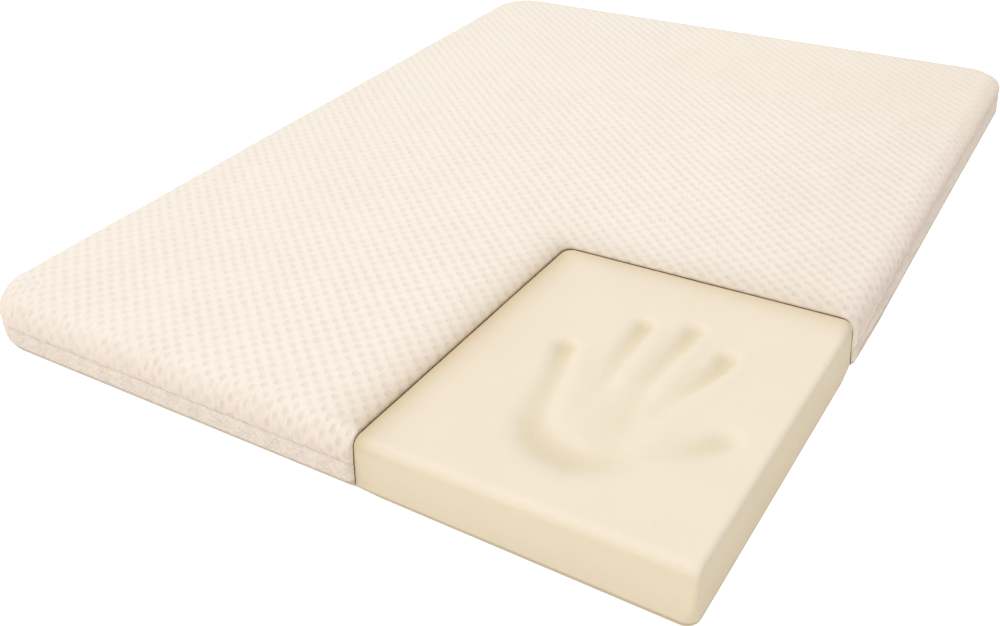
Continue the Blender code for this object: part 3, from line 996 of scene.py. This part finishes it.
def foam_sheet(settings, profile, flat_inset):
    """A flat sheet for the whole slab, fine in the bare corner and scored beside the cut."""
    flat_u = HALF_W - flat_inset
    flat_v = HALF_L - flat_inset
    sides = side_rows(profile)
    lines_u = sheet_lines(flat_u, FINE_FROM_X, flat_u, settings.cell, FOAM_COARSE, sides)
    lines_v = sheet_lines(flat_v, -flat_v, FINE_TO_Y, settings.cell, FOAM_COARSE, sides)
    slab = add_grid("foam_slab", len(lines_u) - 1, len(lines_v) - 1)
    index = read_points(slab.data).astype(int)
    sheet = np.stack([lines_u[index[:, 0]], lines_v[index[:, 1]], np.zeros(len(index))], axis=1)
    write_points(slab.data, sheet)
    score_sheet(slab, [line for distance, _ in GAP_ROWS for line in cut_lines(distance)])
    return slab


def foam_depth(settings, points, u, v, run, from_cut):
    """How far the foam lies in from the plain slab: the print, the gap, the uneven skin and the foot."""
    x, y, z = points.T
    dip_and_shade = np.where(run < CLEARANCE, print_depth(x, y), 0.0)
    distances, shares = np.array(GAP_ROWS).T
    narrower = GAP_NARROWS * soft_step(run / GAP_NARROWS_OVER)
    gap = np.interp(from_cut - narrower, distances, shares)
    above = soft_step(z / CORE_UNDER_RADIUS - FOAM_UNEVEN_FROM)
    uneven = FOAM_UNEVEN * (0.5 + 0.5 * drift(u, v, FOAM_DRIFT)) * above
    low = np.clip(1.0 - z / FOAM_COVERED_LIFT_TO_Z, 0.0, 1.0) ** 2
    lift = FOAM_COVERED_LIFT * low * soft_step(from_cut / FOAM_COVERED_EASE)
    return dip_and_shade + gap * settings.gap_depth * above + uneven + lift


def build_foam(settings):
    """The foam slab, with the handprint in its bare corner and a dip beside the cover's edge."""
    profile = foam_profile(CORE_TOP_RADIUS)
    crisp = foam_profile(CRISP_TOP_RADIUS, profile.length)
    flat_inset = CORE_HIGH_INSET + CORE_TOP_RADIUS
    slab = foam_sheet(settings, profile, flat_inset)
    sheet = read_points(slab.data)
    u, v, from_cut = round_cut_turn(sheet[:, 0], sheet[:, 1])
    bare_corner = (u > 0.0) & (v < 0.0)
    run = np.maximum(np.abs(u) - HALF_W, np.abs(v) - HALF_L) + flat_inset
    shares, radii = np.array(BARE_CORNER).T
    radius = np.where(bare_corner, np.interp(run / profile.length, shares, radii), cover_corner(u, v))
    outside, run = wrap_sheet(u, v, flat_inset, radius, profile.inset, profile.z)
    deep = profile.moved_in(FOAM_INWARD)
    inward, _ = wrap_sheet(u, v, flat_inset, radius, deep.inset, deep.z)
    inward = (inward - outside) / FOAM_INWARD

    # The upper edge of the bare right side is crisper than the others
    by_side = soft_step(0.5 + (np.abs(u) - HALF_W - np.abs(v) + HALF_L) / CRISP_BLEND)
    by_side = (by_side * soft_step((CUT_RIGHT_Y - CRISP_START - v) / CRISP_EASE))[:, None]
    crisp_points, _ = wrap_sheet(u, v, flat_inset, radius, crisp.inset, crisp.z)
    points = outside + (crisp_points - outside) * by_side

    points = points + inward * foam_depth(settings, points, u, v, run, from_cut)[:, None]
    points[:, 1] += BARE_LEAN * bare_lean(points)
    write_points(slab.data, points)
    fill_underside(slab)
    store_foam_values(slab)
    write_points(slab.data, settle_foam(read_points(slab.data)))
    finish_piece(slab)
    return slab


# ---------------------------------------------------------------- materials

# A row that maps a value reads: from, to and, where they aren't 0 and 1, the result at each.
# A run of cloth is measured from the edge of the flat, and it is below 0 on the flat.

SHINE = 0.25
SHEEN_ROUGHNESS = 0.6
NODES_IN_ROW = 12
NODES_FROM = (-2400, 600)
NODE_STEP = (180, 220)


class Finish:
    """A material's nodes, laid out in rows from left to right as they are added."""

    def __init__(self, name, roughness, sheen):
        self.material = bpy.data.materials.new(name)
        self.material.use_nodes = True
        self.tree = self.material.node_tree
        self.shader = self.tree.nodes["Principled BSDF"]
        self.shader.inputs["Roughness"].default_value = roughness
        self.shader.inputs["Specular IOR Level"].default_value = SHINE
        self.shader.inputs["Sheen Weight"].default_value = sheen
        self.shader.inputs["Sheen Roughness"].default_value = SHEEN_ROUGHNESS
        self.count = 0

    def node(self, kind, inputs=(), output=0, **settings):
        """Add a node. inputs pairs a socket's name or number with a value or another node's output."""
        node = self.tree.nodes.new(kind)
        self.count += 1
        row, column = divmod(self.count, NODES_IN_ROW)
        node.location = (NODES_FROM[0] + NODE_STEP[0] * column, NODES_FROM[1] - NODE_STEP[1] * row)
        for name, value in settings.items():
            setattr(node, name, value)
        for socket, value in inputs:
            self.feed(node.inputs[socket], value)
        return node.outputs[output]

    def feed(self, socket, value):
        """Give a socket a constant, or link an output to it."""
        if isinstance(value, bpy.types.NodeSocket):
            self.tree.links.new(value, socket)
        else:
            socket.default_value = value

    def stored(self, name, output="Fac"):
        """One of the numbers, or with output="Vector" one of the vectors, stored on the points."""
        return self.node("ShaderNodeAttribute", output=output, attribute_name=name)

    def place(self):
        """The place on the object."""
        return self.node("ShaderNodeTexCoord", output="Object")

    def maths(self, operation, first, second=0.0, third=0.0):
        """A sum or a function of up to three numbers."""
        return self.node(
            "ShaderNodeMath", [(0, first), (1, second), (2, third)], operation=operation)

    def times(self, first, second):
        """One number multiplied by another."""
        return self.maths("MULTIPLY", first, second)

    def vector_maths(self, operation, first, second):
        """A vector made from two vectors."""
        return self.node("ShaderNodeVectorMath", [(0, first), (1, second)], operation=operation)

    def dot(self, vector, constant):
        """How far a vector reaches along a fixed one."""
        return self.node(
            "ShaderNodeVectorMath", [(0, vector), (1, constant)], "Value", operation="DOT_PRODUCT")

    def noise(self, vector, scale, detail=2.0, output=0):
        """Soft noise, as a number or with output="Color" as a vector."""
        return self.node(
            "ShaderNodeTexNoise", [("Vector", vector), ("Scale", scale), ("Detail", detail)], output)

    def spread(self, value, low, high, to_low=0.0, to_high=1.0):
        """Map low..high to to_low..to_high with a soft start and end."""
        inputs = [
            ("Value", value), ("From Min", low), ("From Max", high), ("To Min", to_low), ("To Max", to_high)]
        return self.node("ShaderNodeMapRange", inputs, interpolation_type="SMOOTHSTEP")

    def mix(self, share, first, second, blend="MIX"):
        """Mix two colours."""
        node = self.node("ShaderNodeMix", data_type="RGBA", blend_type=blend).node
        self.feed(node.inputs["Factor"], share)
        colours = [socket for socket in node.inputs if socket.type == "RGBA"]
        self.feed(colours[0], first)
        self.feed(colours[1], second)
        return [socket for socket in node.outputs if socket.type == "RGBA"][0]

    def tint(self, share, colour, tone):
        """Multiply a colour by a tone, as far as the share says."""
        return self.mix(share, colour, self.mix(1.0, colour, rgba(tone), "MULTIPLY"))

    def bump(self, height, distance, normal=None):
        """Relief of that many metres, on top of an earlier relief where there is one."""
        inputs = [("Height", height), ("Distance", distance), ("Strength", 1.0)]
        if normal is not None:
            inputs.append(("Normal", normal))
        return self.node("ShaderNodeBump", inputs)

    def finish(self, colour, normal):
        """Connect the colour and the relief, and give the material."""
        self.feed(self.shader.inputs["Base Color"], colour)
        self.feed(self.shader.inputs["Normal"], normal)
        return self.material


def rgba(colour, share=1.0):
    """A colour setting as a socket takes it, lightened or darkened."""
    return (colour[0] * share, colour[1] * share, colour[2] * share, 1.0)


ACROSS = (1.0, 0.0, 0.0)
ALONG = (0.0, 1.0, 0.0)
UP = (0.0, 0.0, 1.0)
FULL_TURN = 2.0 * math.pi
ON_SIDES = (0.0, 1.0, 1.0, 0.0)

FLUSH_ACROSS = (0.20, 0.68)
FLUSH_TONE = (0.970, 0.950, 0.948)
# Painted shade in the seam's groove: its reach, its share, how it fades beside the cut, and its tone
SEAM_GROOVE = (0.0045, 0.0010)
SEAM_PART = (0.0, 1.0, 1.0, 0.15)
SEAM_FADE_LENGTH = (0.0, 1.0, 0.060, 0.012)
SEAM_FADE = (0.1, 1.0)
SEAM_SHADE_TONE = (0.84, 0.79, 0.76)
# Painted light on the turn of the cut edge
EDGE_LIGHT_REACH = (0.0060, 0.0030)
CLOTH_SHADE_TONE = (0.76, 0.68, 0.57)
# Tones of painted shade at the foot and along the floor
FOOT_SHADE_TONE = (0.64, 0.63, 0.61)
FLOOR_LINE_LOW = 0.0005
FLOOR_SHADE_TONE = (0.42, 0.39, 0.35)


def warped(finish, cloth, warps):
    """The cloth's measures, moved a little by noises, as hand-fed knitting is."""
    for scale, reach in warps:
        noise = finish.noise(cloth, scale, 1.0, "Color")
        centred = finish.vector_maths("SUBTRACT", noise, (0.5, 0.5, 0.5))
        moved = finish.vector_maths("MULTIPLY", centred, (reach, reach, 0.0))
        cloth = finish.vector_maths("ADD", cloth, moved)
    return cloth


def flushed(finish, colour):
    """Warm the cloth a little towards the cut side."""
    share = finish.spread(finish.dot(finish.place(), ACROSS), *FLUSH_ACROSS)
    return finish.tint(share, colour, FLUSH_TONE)


def seam_shade(finish, colour):
    """Painted shade: deepen the colour in the stitched groove, most along the sides and not beside the cut.
    """
    at_end = finish.stored("at_end")
    near = finish.spread(finish.stored("from_seam"), *SEAM_GROOVE)
    share = finish.times(near, finish.spread(at_end, *SEAM_PART))
    fade_length = finish.spread(at_end, *SEAM_FADE_LENGTH)
    from_cut = finish.maths("DIVIDE", finish.stored("from_cut"), fade_length)
    share = finish.times(share, finish.spread(from_cut, *SEAM_FADE))
    return finish.tint(share, colour, SEAM_SHADE_TONE)


def painted_edge_light(finish, colour, pale, part):
    """Painted light: turn the cloth paler where its cut edge turns in to the foam, against the shade it lies
    in there.
    """
    edge = finish.spread(finish.stored("from_cut"), *EDGE_LIGHT_REACH)
    return finish.mix(finish.times(edge, part), colour, rgba(pale))


def shaded(finish, colour, tone):
    """Painted shade: deepen the colour beside the cut edge, where cloth and foam lie close together."""
    return finish.tint(finish.stored("cut_shade"), colour, tone)


def object_height(finish):
    """Height above the floor."""
    return finish.dot(finish.place(), UP)


def painted_foot_shade(finish, colour, height, high, low, part):
    """Painted shade: darken the foot, where the piece stands in its own shade near the floor."""
    return finish.mix(
        finish.spread(height, high, low, 0.0, part), colour,
        finish.mix(1.0, colour, rgba(FOOT_SHADE_TONE), "MULTIPLY"))


def painted_floor_shade(finish, colour, high):
    """Painted shade: darken the turn of the underside, down to where it meets the floor."""
    share = finish.spread(object_height(finish), high, FLOOR_LINE_LOW)
    return finish.tint(share, colour, FLOOR_SHADE_TONE)


# The padded knit
KNIT_WARPS = (
    # scale of the noise, reach
    (22.0, 0.0050),
    (95.0, 0.0035),
)
CROSS_ROWS_ALONG = (-0.40, 1.00, 0.46, 0.16)
CROSS_ROWS_DOWN = (-0.030, 0.010, 0.0, 0.50)
COLUMNS_DOWN = (-0.025, 0.020)
COLUMN_SWING = 0.40
DIMPLE_LATTICE = (-0.3, 0.95)
STRIPE_LATTICE = (-0.7, 0.9, 0.0, 0.12)
UNEVEN_SCALE = 48.0
UNEVEN_DEPTH = (0.30, 0.66, 0.45, 1.25)
DEPTH_ACROSS = (-0.55, 0.25, 0.87, 1.20)
DEPTH_ALONG = (0.0, 0.45, 1.0, 0.80)
WORN_ACROSS = (-0.25, 0.10)
WORN_ALONG = (0.38, 0.66)
WORN_DEPTH = (0.0, 1.0, 1.0, 0.58)
WORN_TONE = (0.980, 0.983, 0.955)
SHOULDER_RUN = (-0.015, 0.035)
# Painted shade: the cloth darker and warmer down the sides
LOW_RUN = (0.0, 0.060)
KNIT_SIDE_SHADE_TONE = (0.960, 0.900, 0.897)
CALM_RUN = (-0.010, 0.050, 1.0, 0.85)
END_TONE = (0.965, 0.974, 0.970)
STREAK_RATE_DOWN = 50.0
STREAK_RATE_ACROSS = 120.0
STREAK_DETAIL = 0.5
STREAK_NOISE = (0.42, 0.66)
STREAKS_ON_SIDES = (0.0, 1.0, 0.75, 0.0)
STREAKS_FROM_CUT = (0.002, 0.012)
STREAK_PART = 0.55
STREAK_SHADE_TONE = (0.924, 0.916, 0.906)
CLOUD_SCALE = 7.0
CLOUD_NOISE = (0.35, 0.65)
CLOUD_TONE = (0.990, 0.982, 0.976)
LOOP_SCALE = 90.0
LOOP_DISTORTION = 2.5
LOOP_RELIEF = 0.00015
PIT_RELIEF = 0.0007


def streaks(finish, cloth):
    """Soft streaks that run down the ends and sides, where the knit is stretched over the shoulder."""
    place = finish.place()
    down = finish.times(finish.dot(cloth, UP), STREAK_RATE_DOWN)
    at_end = finish.stored("at_end")
    shares = []
    for axis, part in ((ACROSS, at_end), (ALONG, finish.spread(at_end, *STREAKS_ON_SIDES))):
        across = finish.times(finish.dot(place, axis), STREAK_RATE_ACROSS)
        rates = finish.node("ShaderNodeCombineXYZ", [("X", across), ("Y", down)])
        share = finish.spread(finish.noise(rates, 1.0, STREAK_DETAIL), *STREAK_NOISE)
        shares.append(finish.times(share, part))
    return finish.maths("ADD", *shares)


def dimple_rows(finish, settings, cloth, run):
    """The dimples' lattice and its first set of diagonal rows, each about -1 to 1."""
    knit = warped(finish, cloth, KNIT_WARPS)
    across = finish.dot(
        knit, (1.0 / settings.pitch_across, settings.skew / settings.pitch_across, 0.0))
    along = finish.dot(knit, (0.0, 1.0 / settings.pitch_along, 0.0))
    rows = [
        finish.maths("COSINE", finish.times(finish.maths(lean, across, along), FULL_TURN))
        for lean in ("ADD", "SUBTRACT")
    ]
    weight = finish.spread(finish.dot(cloth, ALONG), *CROSS_ROWS_ALONG)
    weight = finish.maths("MAXIMUM", weight, finish.spread(run, *CROSS_ROWS_DOWN))
    crossed = finish.times(weight, finish.maths("SUBTRACT", rows[1], rows[0]))
    lattice = finish.maths("ADD", rows[0], crossed)
    down_end = finish.times(finish.spread(run, *COLUMNS_DOWN), finish.stored("at_end"))
    columns = finish.maths("COSINE", finish.times(across, 2.0 * FULL_TURN))
    columns = finish.maths("MULTIPLY_ADD", columns, COLUMN_SWING, -COLUMN_SWING / 2)
    return finish.maths("ADD", lattice, finish.times(columns, down_end)), rows[0]


def knit_finish(settings):
    """Ivory knit with diagonal rows of oval dimples, stretched into soft streaks down the sides."""
    finish = Finish("ivory_dimple_knit", roughness=0.95, sheen=0.25)
    cloth = finish.stored("cloth", "Vector")
    width, length, run = (finish.dot(cloth, axis) for axis in (ACROSS, ALONG, UP))
    lattice, first_rows = dimple_rows(finish, settings, cloth, run)

    # How deep the tone of the dimples is, by place
    uneven = finish.spread(finish.noise(cloth, UNEVEN_SCALE), *UNEVEN_DEPTH)
    shade = finish.times(finish.spread(lattice, *DIMPLE_LATTICE), uneven)
    shade = finish.maths("ADD", shade, finish.spread(first_rows, *STRIPE_LATTICE))
    by_place = finish.times(finish.spread(width, *DEPTH_ACROSS), finish.spread(length, *DEPTH_ALONG))
    shade = finish.times(shade, by_place)
    worn = finish.times(finish.spread(width, *WORN_ACROSS), finish.spread(length, *WORN_ALONG))
    shade = finish.times(shade, finish.spread(worn, *WORN_DEPTH))
    calm = finish.times(shade, finish.spread(run, *CALM_RUN))
    side = finish.spread(run, *SHOULDER_RUN)
    drawn = finish.times(streaks(finish, cloth), finish.times(side, STREAK_PART))
    drawn = finish.times(drawn, finish.spread(finish.stored("from_cut"), *STREAKS_FROM_CUT))

    low = finish.spread(run, *LOW_RUN)
    # Painted shade in the dimples, and in the streaks that they are drawn out into down the sides
    colour = finish.mix(calm, rgba(settings.ridge), rgba(settings.dimple))
    colour = finish.tint(drawn, colour, STREAK_SHADE_TONE)
    cloud = finish.spread(finish.noise(cloth, CLOUD_SCALE), *CLOUD_NOISE)
    colour = finish.tint(cloud, colour, CLOUD_TONE)
    colour = finish.tint(worn, colour, WORN_TONE)
    # Painted shade down the sides
    colour = finish.tint(low, colour, KNIT_SIDE_SHADE_TONE)
    colour = finish.tint(finish.times(side, finish.stored("at_end")), colour, END_TONE)
    colour = seam_shade(finish, flushed(finish, colour))
    colour = painted_edge_light(finish, colour, settings.ridge, low)
    colour = shaded(finish, colour, CLOTH_SHADE_TONE)

    loops = finish.node(
        "ShaderNodeTexWave",
        [("Vector", cloth), ("Scale", LOOP_SCALE), ("Distortion", LOOP_DISTORTION), ("Detail", 1.0)],
        wave_type="BANDS", bands_direction="DIAGONAL")
    pits = finish.times(finish.maths("ADD", calm, drawn), -1.0)
    return finish.finish(colour, finish.bump(pits, PIT_RELIEF, finish.bump(loops, LOOP_RELIEF)))


# The lower band
BAND_WARPS = (
    # scale of the noise, reach
    (40.0, 0.0080),
    (130.0, 0.0040),
)
RIB_SLANT = 0.35
RIB_WAVE = (-0.8, 0.8)
RIB_NOISE_SCALE = 60.0
RIB_NOISE = (0.35, 0.65, 0.0, 0.55)
RIB_RELIEF = 0.0006
BLOTCH_SCALE = 125.0
BLOTCH_NOISE = (0.36, 0.66, 0.0, 0.75)
# Painted light: fewer dark marks just below the seam, and on the sides beside the cut fewer marks and a
# lighter tone
MARK_NEAR_SEAM = (0.004, 0.022, 0.75, 1.0)
BESIDE_CUT = (0.17, 0.05)
MARK_BESIDE_CUT = (0.0, 1.0, 1.0, 0.35)
LIGHT_BESIDE_CUT = (1.07, 1.07, 1.07)
HUE_SCALE = 34.0
HUE_NOISE = (0.40, 0.60)
YELLOWER = (1.0, 0.985, 0.955)
PINKER = (1.0, 0.970, 0.985)
# Painted shade at the band's foot: its height by the distance from the cut, its reach, its share on the
# sides, and the floor line
FOOT_BY_CUT = (0.002, 0.024, -0.007, 0.009)
BAND_FOOT = (0.0270, 0.0200)
BAND_FOOT_PART = (0.0, 1.0, 1.0, 0.70)
BAND_FLOOR_LINE = 0.0090


def band_finish(settings):
    """Ivory cloth with fine uneven ribs in a zigzag."""
    finish = Finish("ivory_zigzag_band", roughness=0.95, sheen=0.25)
    cloth = finish.stored("cloth", "Vector")
    place = warped(finish, cloth, BAND_WARPS)
    across = finish.dot(place, (1.0 / settings.zigzag, RIB_SLANT / settings.zigzag, 0.0))
    along = finish.dot(place, (RIB_SLANT, 1.0, 0.0))
    lean = finish.times(finish.maths("PINGPONG", across, 1.0), settings.zigzag)
    rib = finish.times(finish.maths("ADD", along, lean), FULL_TURN / settings.rib)
    wave = finish.spread(finish.maths("SINE", rib), *RIB_WAVE)
    uneven = finish.spread(finish.noise(cloth, RIB_NOISE_SCALE), *RIB_NOISE)
    blotch = finish.spread(finish.noise(cloth, BLOTCH_SCALE), *BLOTCH_NOISE)
    mark = finish.maths("ADD", finish.times(wave, uneven), blotch)
    # Painted light just below the seam
    mark = finish.times(mark, finish.spread(finish.stored("from_seam"), *MARK_NEAR_SEAM))
    side = finish.spread(finish.stored("at_end"), *ON_SIDES)
    from_cut = finish.stored("from_cut")
    # Painted light on the sides beside the cut
    beside = finish.times(side, finish.spread(from_cut, *BESIDE_CUT))
    mark = finish.times(mark, finish.spread(beside, *MARK_BESIDE_CUT))

    colour = finish.mix(mark, rgba(settings.light), rgba(settings.dark))
    colour = finish.tint(beside, colour, LIGHT_BESIDE_CUT)
    hue = finish.spread(finish.noise(cloth, HUE_SCALE, 1.0), *HUE_NOISE)
    colour = finish.mix(1.0, colour, finish.mix(hue, rgba(YELLOWER), rgba(PINKER)), "MULTIPLY")
    colour = seam_shade(finish, flushed(finish, colour))
    colour = painted_edge_light(finish, colour, settings.light, 1.0)
    colour = shaded(finish, colour, CLOTH_SHADE_TONE)
    by_cut = finish.times(side, finish.spread(from_cut, *FOOT_BY_CUT))
    height = finish.maths("SUBTRACT", object_height(finish), by_cut)
    colour = painted_foot_shade(finish, colour, height, *BAND_FOOT, finish.spread(side, *BAND_FOOT_PART))
    colour = painted_floor_shade(finish, colour, BAND_FLOOR_LINE)
    return finish.finish(colour, finish.bump(finish.times(wave, -1.0), RIB_RELIEF))


# The foam
FOAM_CLOUD_SCALE = 9.0
FOAM_CLOUD_DETAIL = 3.0
FOAM_CLOUD_NOISE = (0.3, 0.7, 0.0, 0.5)
FOAM_CLOUD_TONE = 0.97
# Painted shade: the foam's side yellower and darker, and darker towards the floor
FOAM_SIDE_HEIGHT = (CORE_TOP_Z - 0.0004, CORE_HIGH_Z)
FOAM_SIDE_SHADE_TONE = (0.965, 0.954, 0.888)
FOAM_LOW_HEIGHT = (0.070, -0.010)
FOAM_LOW_SHADE_TONE = (0.925, 0.905, 0.895)
PRINT_SHADE_SHARE = (0.10, 1.15)
FOAM_SHADE_TONE = (0.74, 0.64, 0.46)
GAP_NARROWER = (CORE_TOP_Z - 0.002, CORE_HIGH_Z, 0.0, 0.0018)
GAP_SHADE_EDGE = (-0.0026, -0.0008)
# Painted shade at the foam's foot and along the floor
FOAM_FOOT = (0.0130, 0.0093, 0.78)
FOAM_FLOOR_LINE = 0.0034
PORE_SCALE = 900.0
PORE_RELIEF = 0.00025
DENT_SCALE = 160.0
DENT_RELIEF = 0.0005


def foam_finish(settings):
    """Cream memory foam with fine pores. Painted shade makes its side yellower and darker, darker towards
    the floor, and deeper in tone in the print's dips.
    """
    finish = Finish("cream_memory_foam", roughness=0.85, sheen=0.10)
    place = finish.place()
    height = finish.stored("height")
    cloud = finish.spread(finish.noise(place, FOAM_CLOUD_SCALE, FOAM_CLOUD_DETAIL), *FOAM_CLOUD_NOISE)
    colour = finish.mix(cloud, rgba(settings.skin), rgba(settings.skin, FOAM_CLOUD_TONE))
    # Painted shade on the side and towards the floor
    colour = finish.tint(finish.spread(height, *FOAM_SIDE_HEIGHT), colour, FOAM_SIDE_SHADE_TONE)
    colour = finish.tint(finish.spread(height, *FOAM_LOW_HEIGHT), colour, FOAM_LOW_SHADE_TONE)
    # Painted shade in the print's dips, by their depth
    dip_and_shade = finish.spread(finish.stored("dip_and_shade"), *PRINT_SHADE_SHARE)
    colour = finish.mix(dip_and_shade, colour, rgba(settings.dip_and_shade))
    colour = shaded(finish, colour, FOAM_SHADE_TONE)
    # Painted shade in the crevice beside the cover's cut edge
    narrower = finish.spread(height, *GAP_NARROWER)
    gap = finish.spread(finish.maths("SUBTRACT", finish.stored("from_cut"), narrower), *GAP_SHADE_EDGE)
    colour = finish.mix(gap, colour, rgba(settings.gap))
    colour = painted_foot_shade(finish, colour, object_height(finish), *FOAM_FOOT)
    colour = painted_floor_shade(finish, colour, FOAM_FLOOR_LINE)
    pores = finish.bump(finish.noise(place, PORE_SCALE), PORE_RELIEF)
    return finish.finish(colour, finish.bump(finish.noise(place, DENT_SCALE), DENT_RELIEF, pores))


def floor_finish(settings):
    """A plain white floor that stays white."""
    finish = Finish("white_floor", roughness=0.9, sheen=0.0)
    finish.shader.inputs["Base Color"].default_value = rgba(settings.floor)
    finish.shader.inputs["Emission Color"].default_value = rgba(settings.floor_glow)
    finish.shader.inputs["Emission Strength"].default_value = FLOOR_GLOW_STRENGTH
    return finish.material


def dress(piece, material, node):
    """Give a finished piece its material and its place in the part."""
    piece.data.materials.clear()
    piece.data.materials.append(material)
    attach(piece, "root")
    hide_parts(node)


# ---------------------------------------------------------------- operators

class TOPPER_OT_foam(bpy.types.Operator):
    """Model the foam slab with the handprint in its bare corner"""

    bl_idname = "topper.foam"
    bl_label = "Foam slab"

    def execute(self, context):
        settings = context.scene.topper_foam
        dress(build_foam(settings), foam_finish(settings), "core")
        return {"FINISHED"}


class TOPPER_OT_upper_panel(bpy.types.Operator):
    """Model the padded upper panel of the cover"""

    bl_idname = "topper.upper_panel"
    bl_label = "Upper panel"

    def execute(self, context):
        settings = context.scene.topper_knit
        dress(build_upper_panel(settings), knit_finish(settings), "cover_top")
        return {"FINISHED"}


class TOPPER_OT_lower_panel(bpy.types.Operator):
    """Model the lower panel of the cover"""

    bl_idname = "topper.lower_panel"
    bl_label = "Lower panel"

    def execute(self, context):
        settings = context.scene.topper_band
        dress(build_lower_panel(), band_finish(settings), "cover_base")
        return {"FINISHED"}


class TOPPER_OT_stage(bpy.types.Operator):
    """Lay the floor and set the light and the camera"""

    bl_idname = "topper.stage"
    bl_label = "Stage"

    def execute(self, context):
        settings = context.scene.topper_stage
        bpy.ops.object.select_all(action="DESELECT")
        bpy.ops.mesh.primitive_plane_add(size=FLOOR_SIZE, location=(0.0, 0.0, FLOOR_Z))
        floor = context.object
        floor.name = "floor"
        floor.data.materials.append(floor_finish(settings))

        world = context.scene.world or bpy.data.worlds.new("studio")
        context.scene.world = world
        world.use_nodes = True
        background = world.node_tree.nodes["Background"]
        background.inputs["Color"].default_value = ROOM_COLOUR
        background.inputs["Strength"].default_value = settings.room
        context.scene.view_settings.view_transform = "Standard"

        bpy.ops.object.light_add(type="SUN", location=KEY_PLACE)
        key = context.object
        key.name = "key_light"
        key.data.angle = math.radians(KEY_SPREAD_DEG)
        key.data.energy = settings.key
        key.rotation_euler = Vector(KEY_PLACE).to_track_quat("Z", "Y").to_euler()

        bpy.ops.object.camera_add()
        camera = context.object
        camera.name = "camera"
        camera.data.sensor_width = CAMERA_SENSOR
        camera.data.lens = settings.lens
        camera.data.clip_start = CAMERA_NEAREST
        camera.matrix_world = camera_place()
        context.scene.camera = camera
        return {"FINISHED"}


def camera_place():
    """Where the camera stands, and how it is turned."""
    tilt, yaw, roll = (math.radians(angle) for angle in CAMERA_TURNS)
    forward = Vector((math.cos(tilt) * math.sin(yaw), math.cos(tilt) * math.cos(yaw), -math.sin(tilt)))
    level = Vector((math.cos(yaw), -math.sin(yaw), 0.0))
    upright = level.cross(forward)
    across = math.cos(roll) * level + math.sin(roll) * upright
    up = -math.sin(roll) * level + math.cos(roll) * upright
    turned = Matrix((across, up, -forward)).transposed().to_4x4()
    return Matrix.Translation(CAMERA_PLACE) @ turned


class TOPPER_PT_panel(bpy.types.Panel):
    """Lists the topper's pieces and their settings"""

    bl_idname = "TOPPER_PT_panel"
    bl_label = "Mattress topper"
    bl_space_type = "VIEW_3D"
    bl_region_type = "UI"
    bl_category = "Topper"

    def draw(self, context):
        """List each piece with its settings."""
        for name, operator in PIECES:
            settings = getattr(context.scene, name)
            box = self.layout.box()
            box.operator(operator)
            for field in settings.bl_rna.properties:
                if field.identifier not in ("rna_type", "name"):
                    box.prop(settings, field.identifier)


SETTINGS = {
    "topper_foam": TopperFoamSettings,
    "topper_knit": TopperKnitSettings,
    "topper_band": TopperBandSettings,
    "topper_stage": TopperStageSettings,
}
PIECES = (
    ("topper_foam", "topper.foam"),
    ("topper_knit", "topper.upper_panel"),
    ("topper_band", "topper.lower_panel"),
    ("topper_stage", "topper.stage"),
)
CLASSES = (
    *SETTINGS.values(),
    TOPPER_OT_foam,
    TOPPER_OT_upper_panel,
    TOPPER_OT_lower_panel,
    TOPPER_OT_stage,
    TOPPER_PT_panel,
)


def register():
    """Make the operators, the panel and the settings known to the program."""
    for each in CLASSES:
        bpy.utils.register_class(each)
    for name, group in SETTINGS.items():
        setattr(bpy.types.Scene, name, bpy.props.PointerProperty(type=group))


def unregister():
    """Take them out again."""
    for name in SETTINGS:
        delattr(bpy.types.Scene, name)
    for each in reversed(CLASSES):
        bpy.utils.unregister_class(each)


def main():
    """Make every piece and the stage."""
    register()
    bpy.ops.topper.foam()
    bpy.ops.topper.upper_panel()
    bpy.ops.topper.lower_panel()
    bpy.ops.topper.stage()


if __name__ == "__main__":
    main()
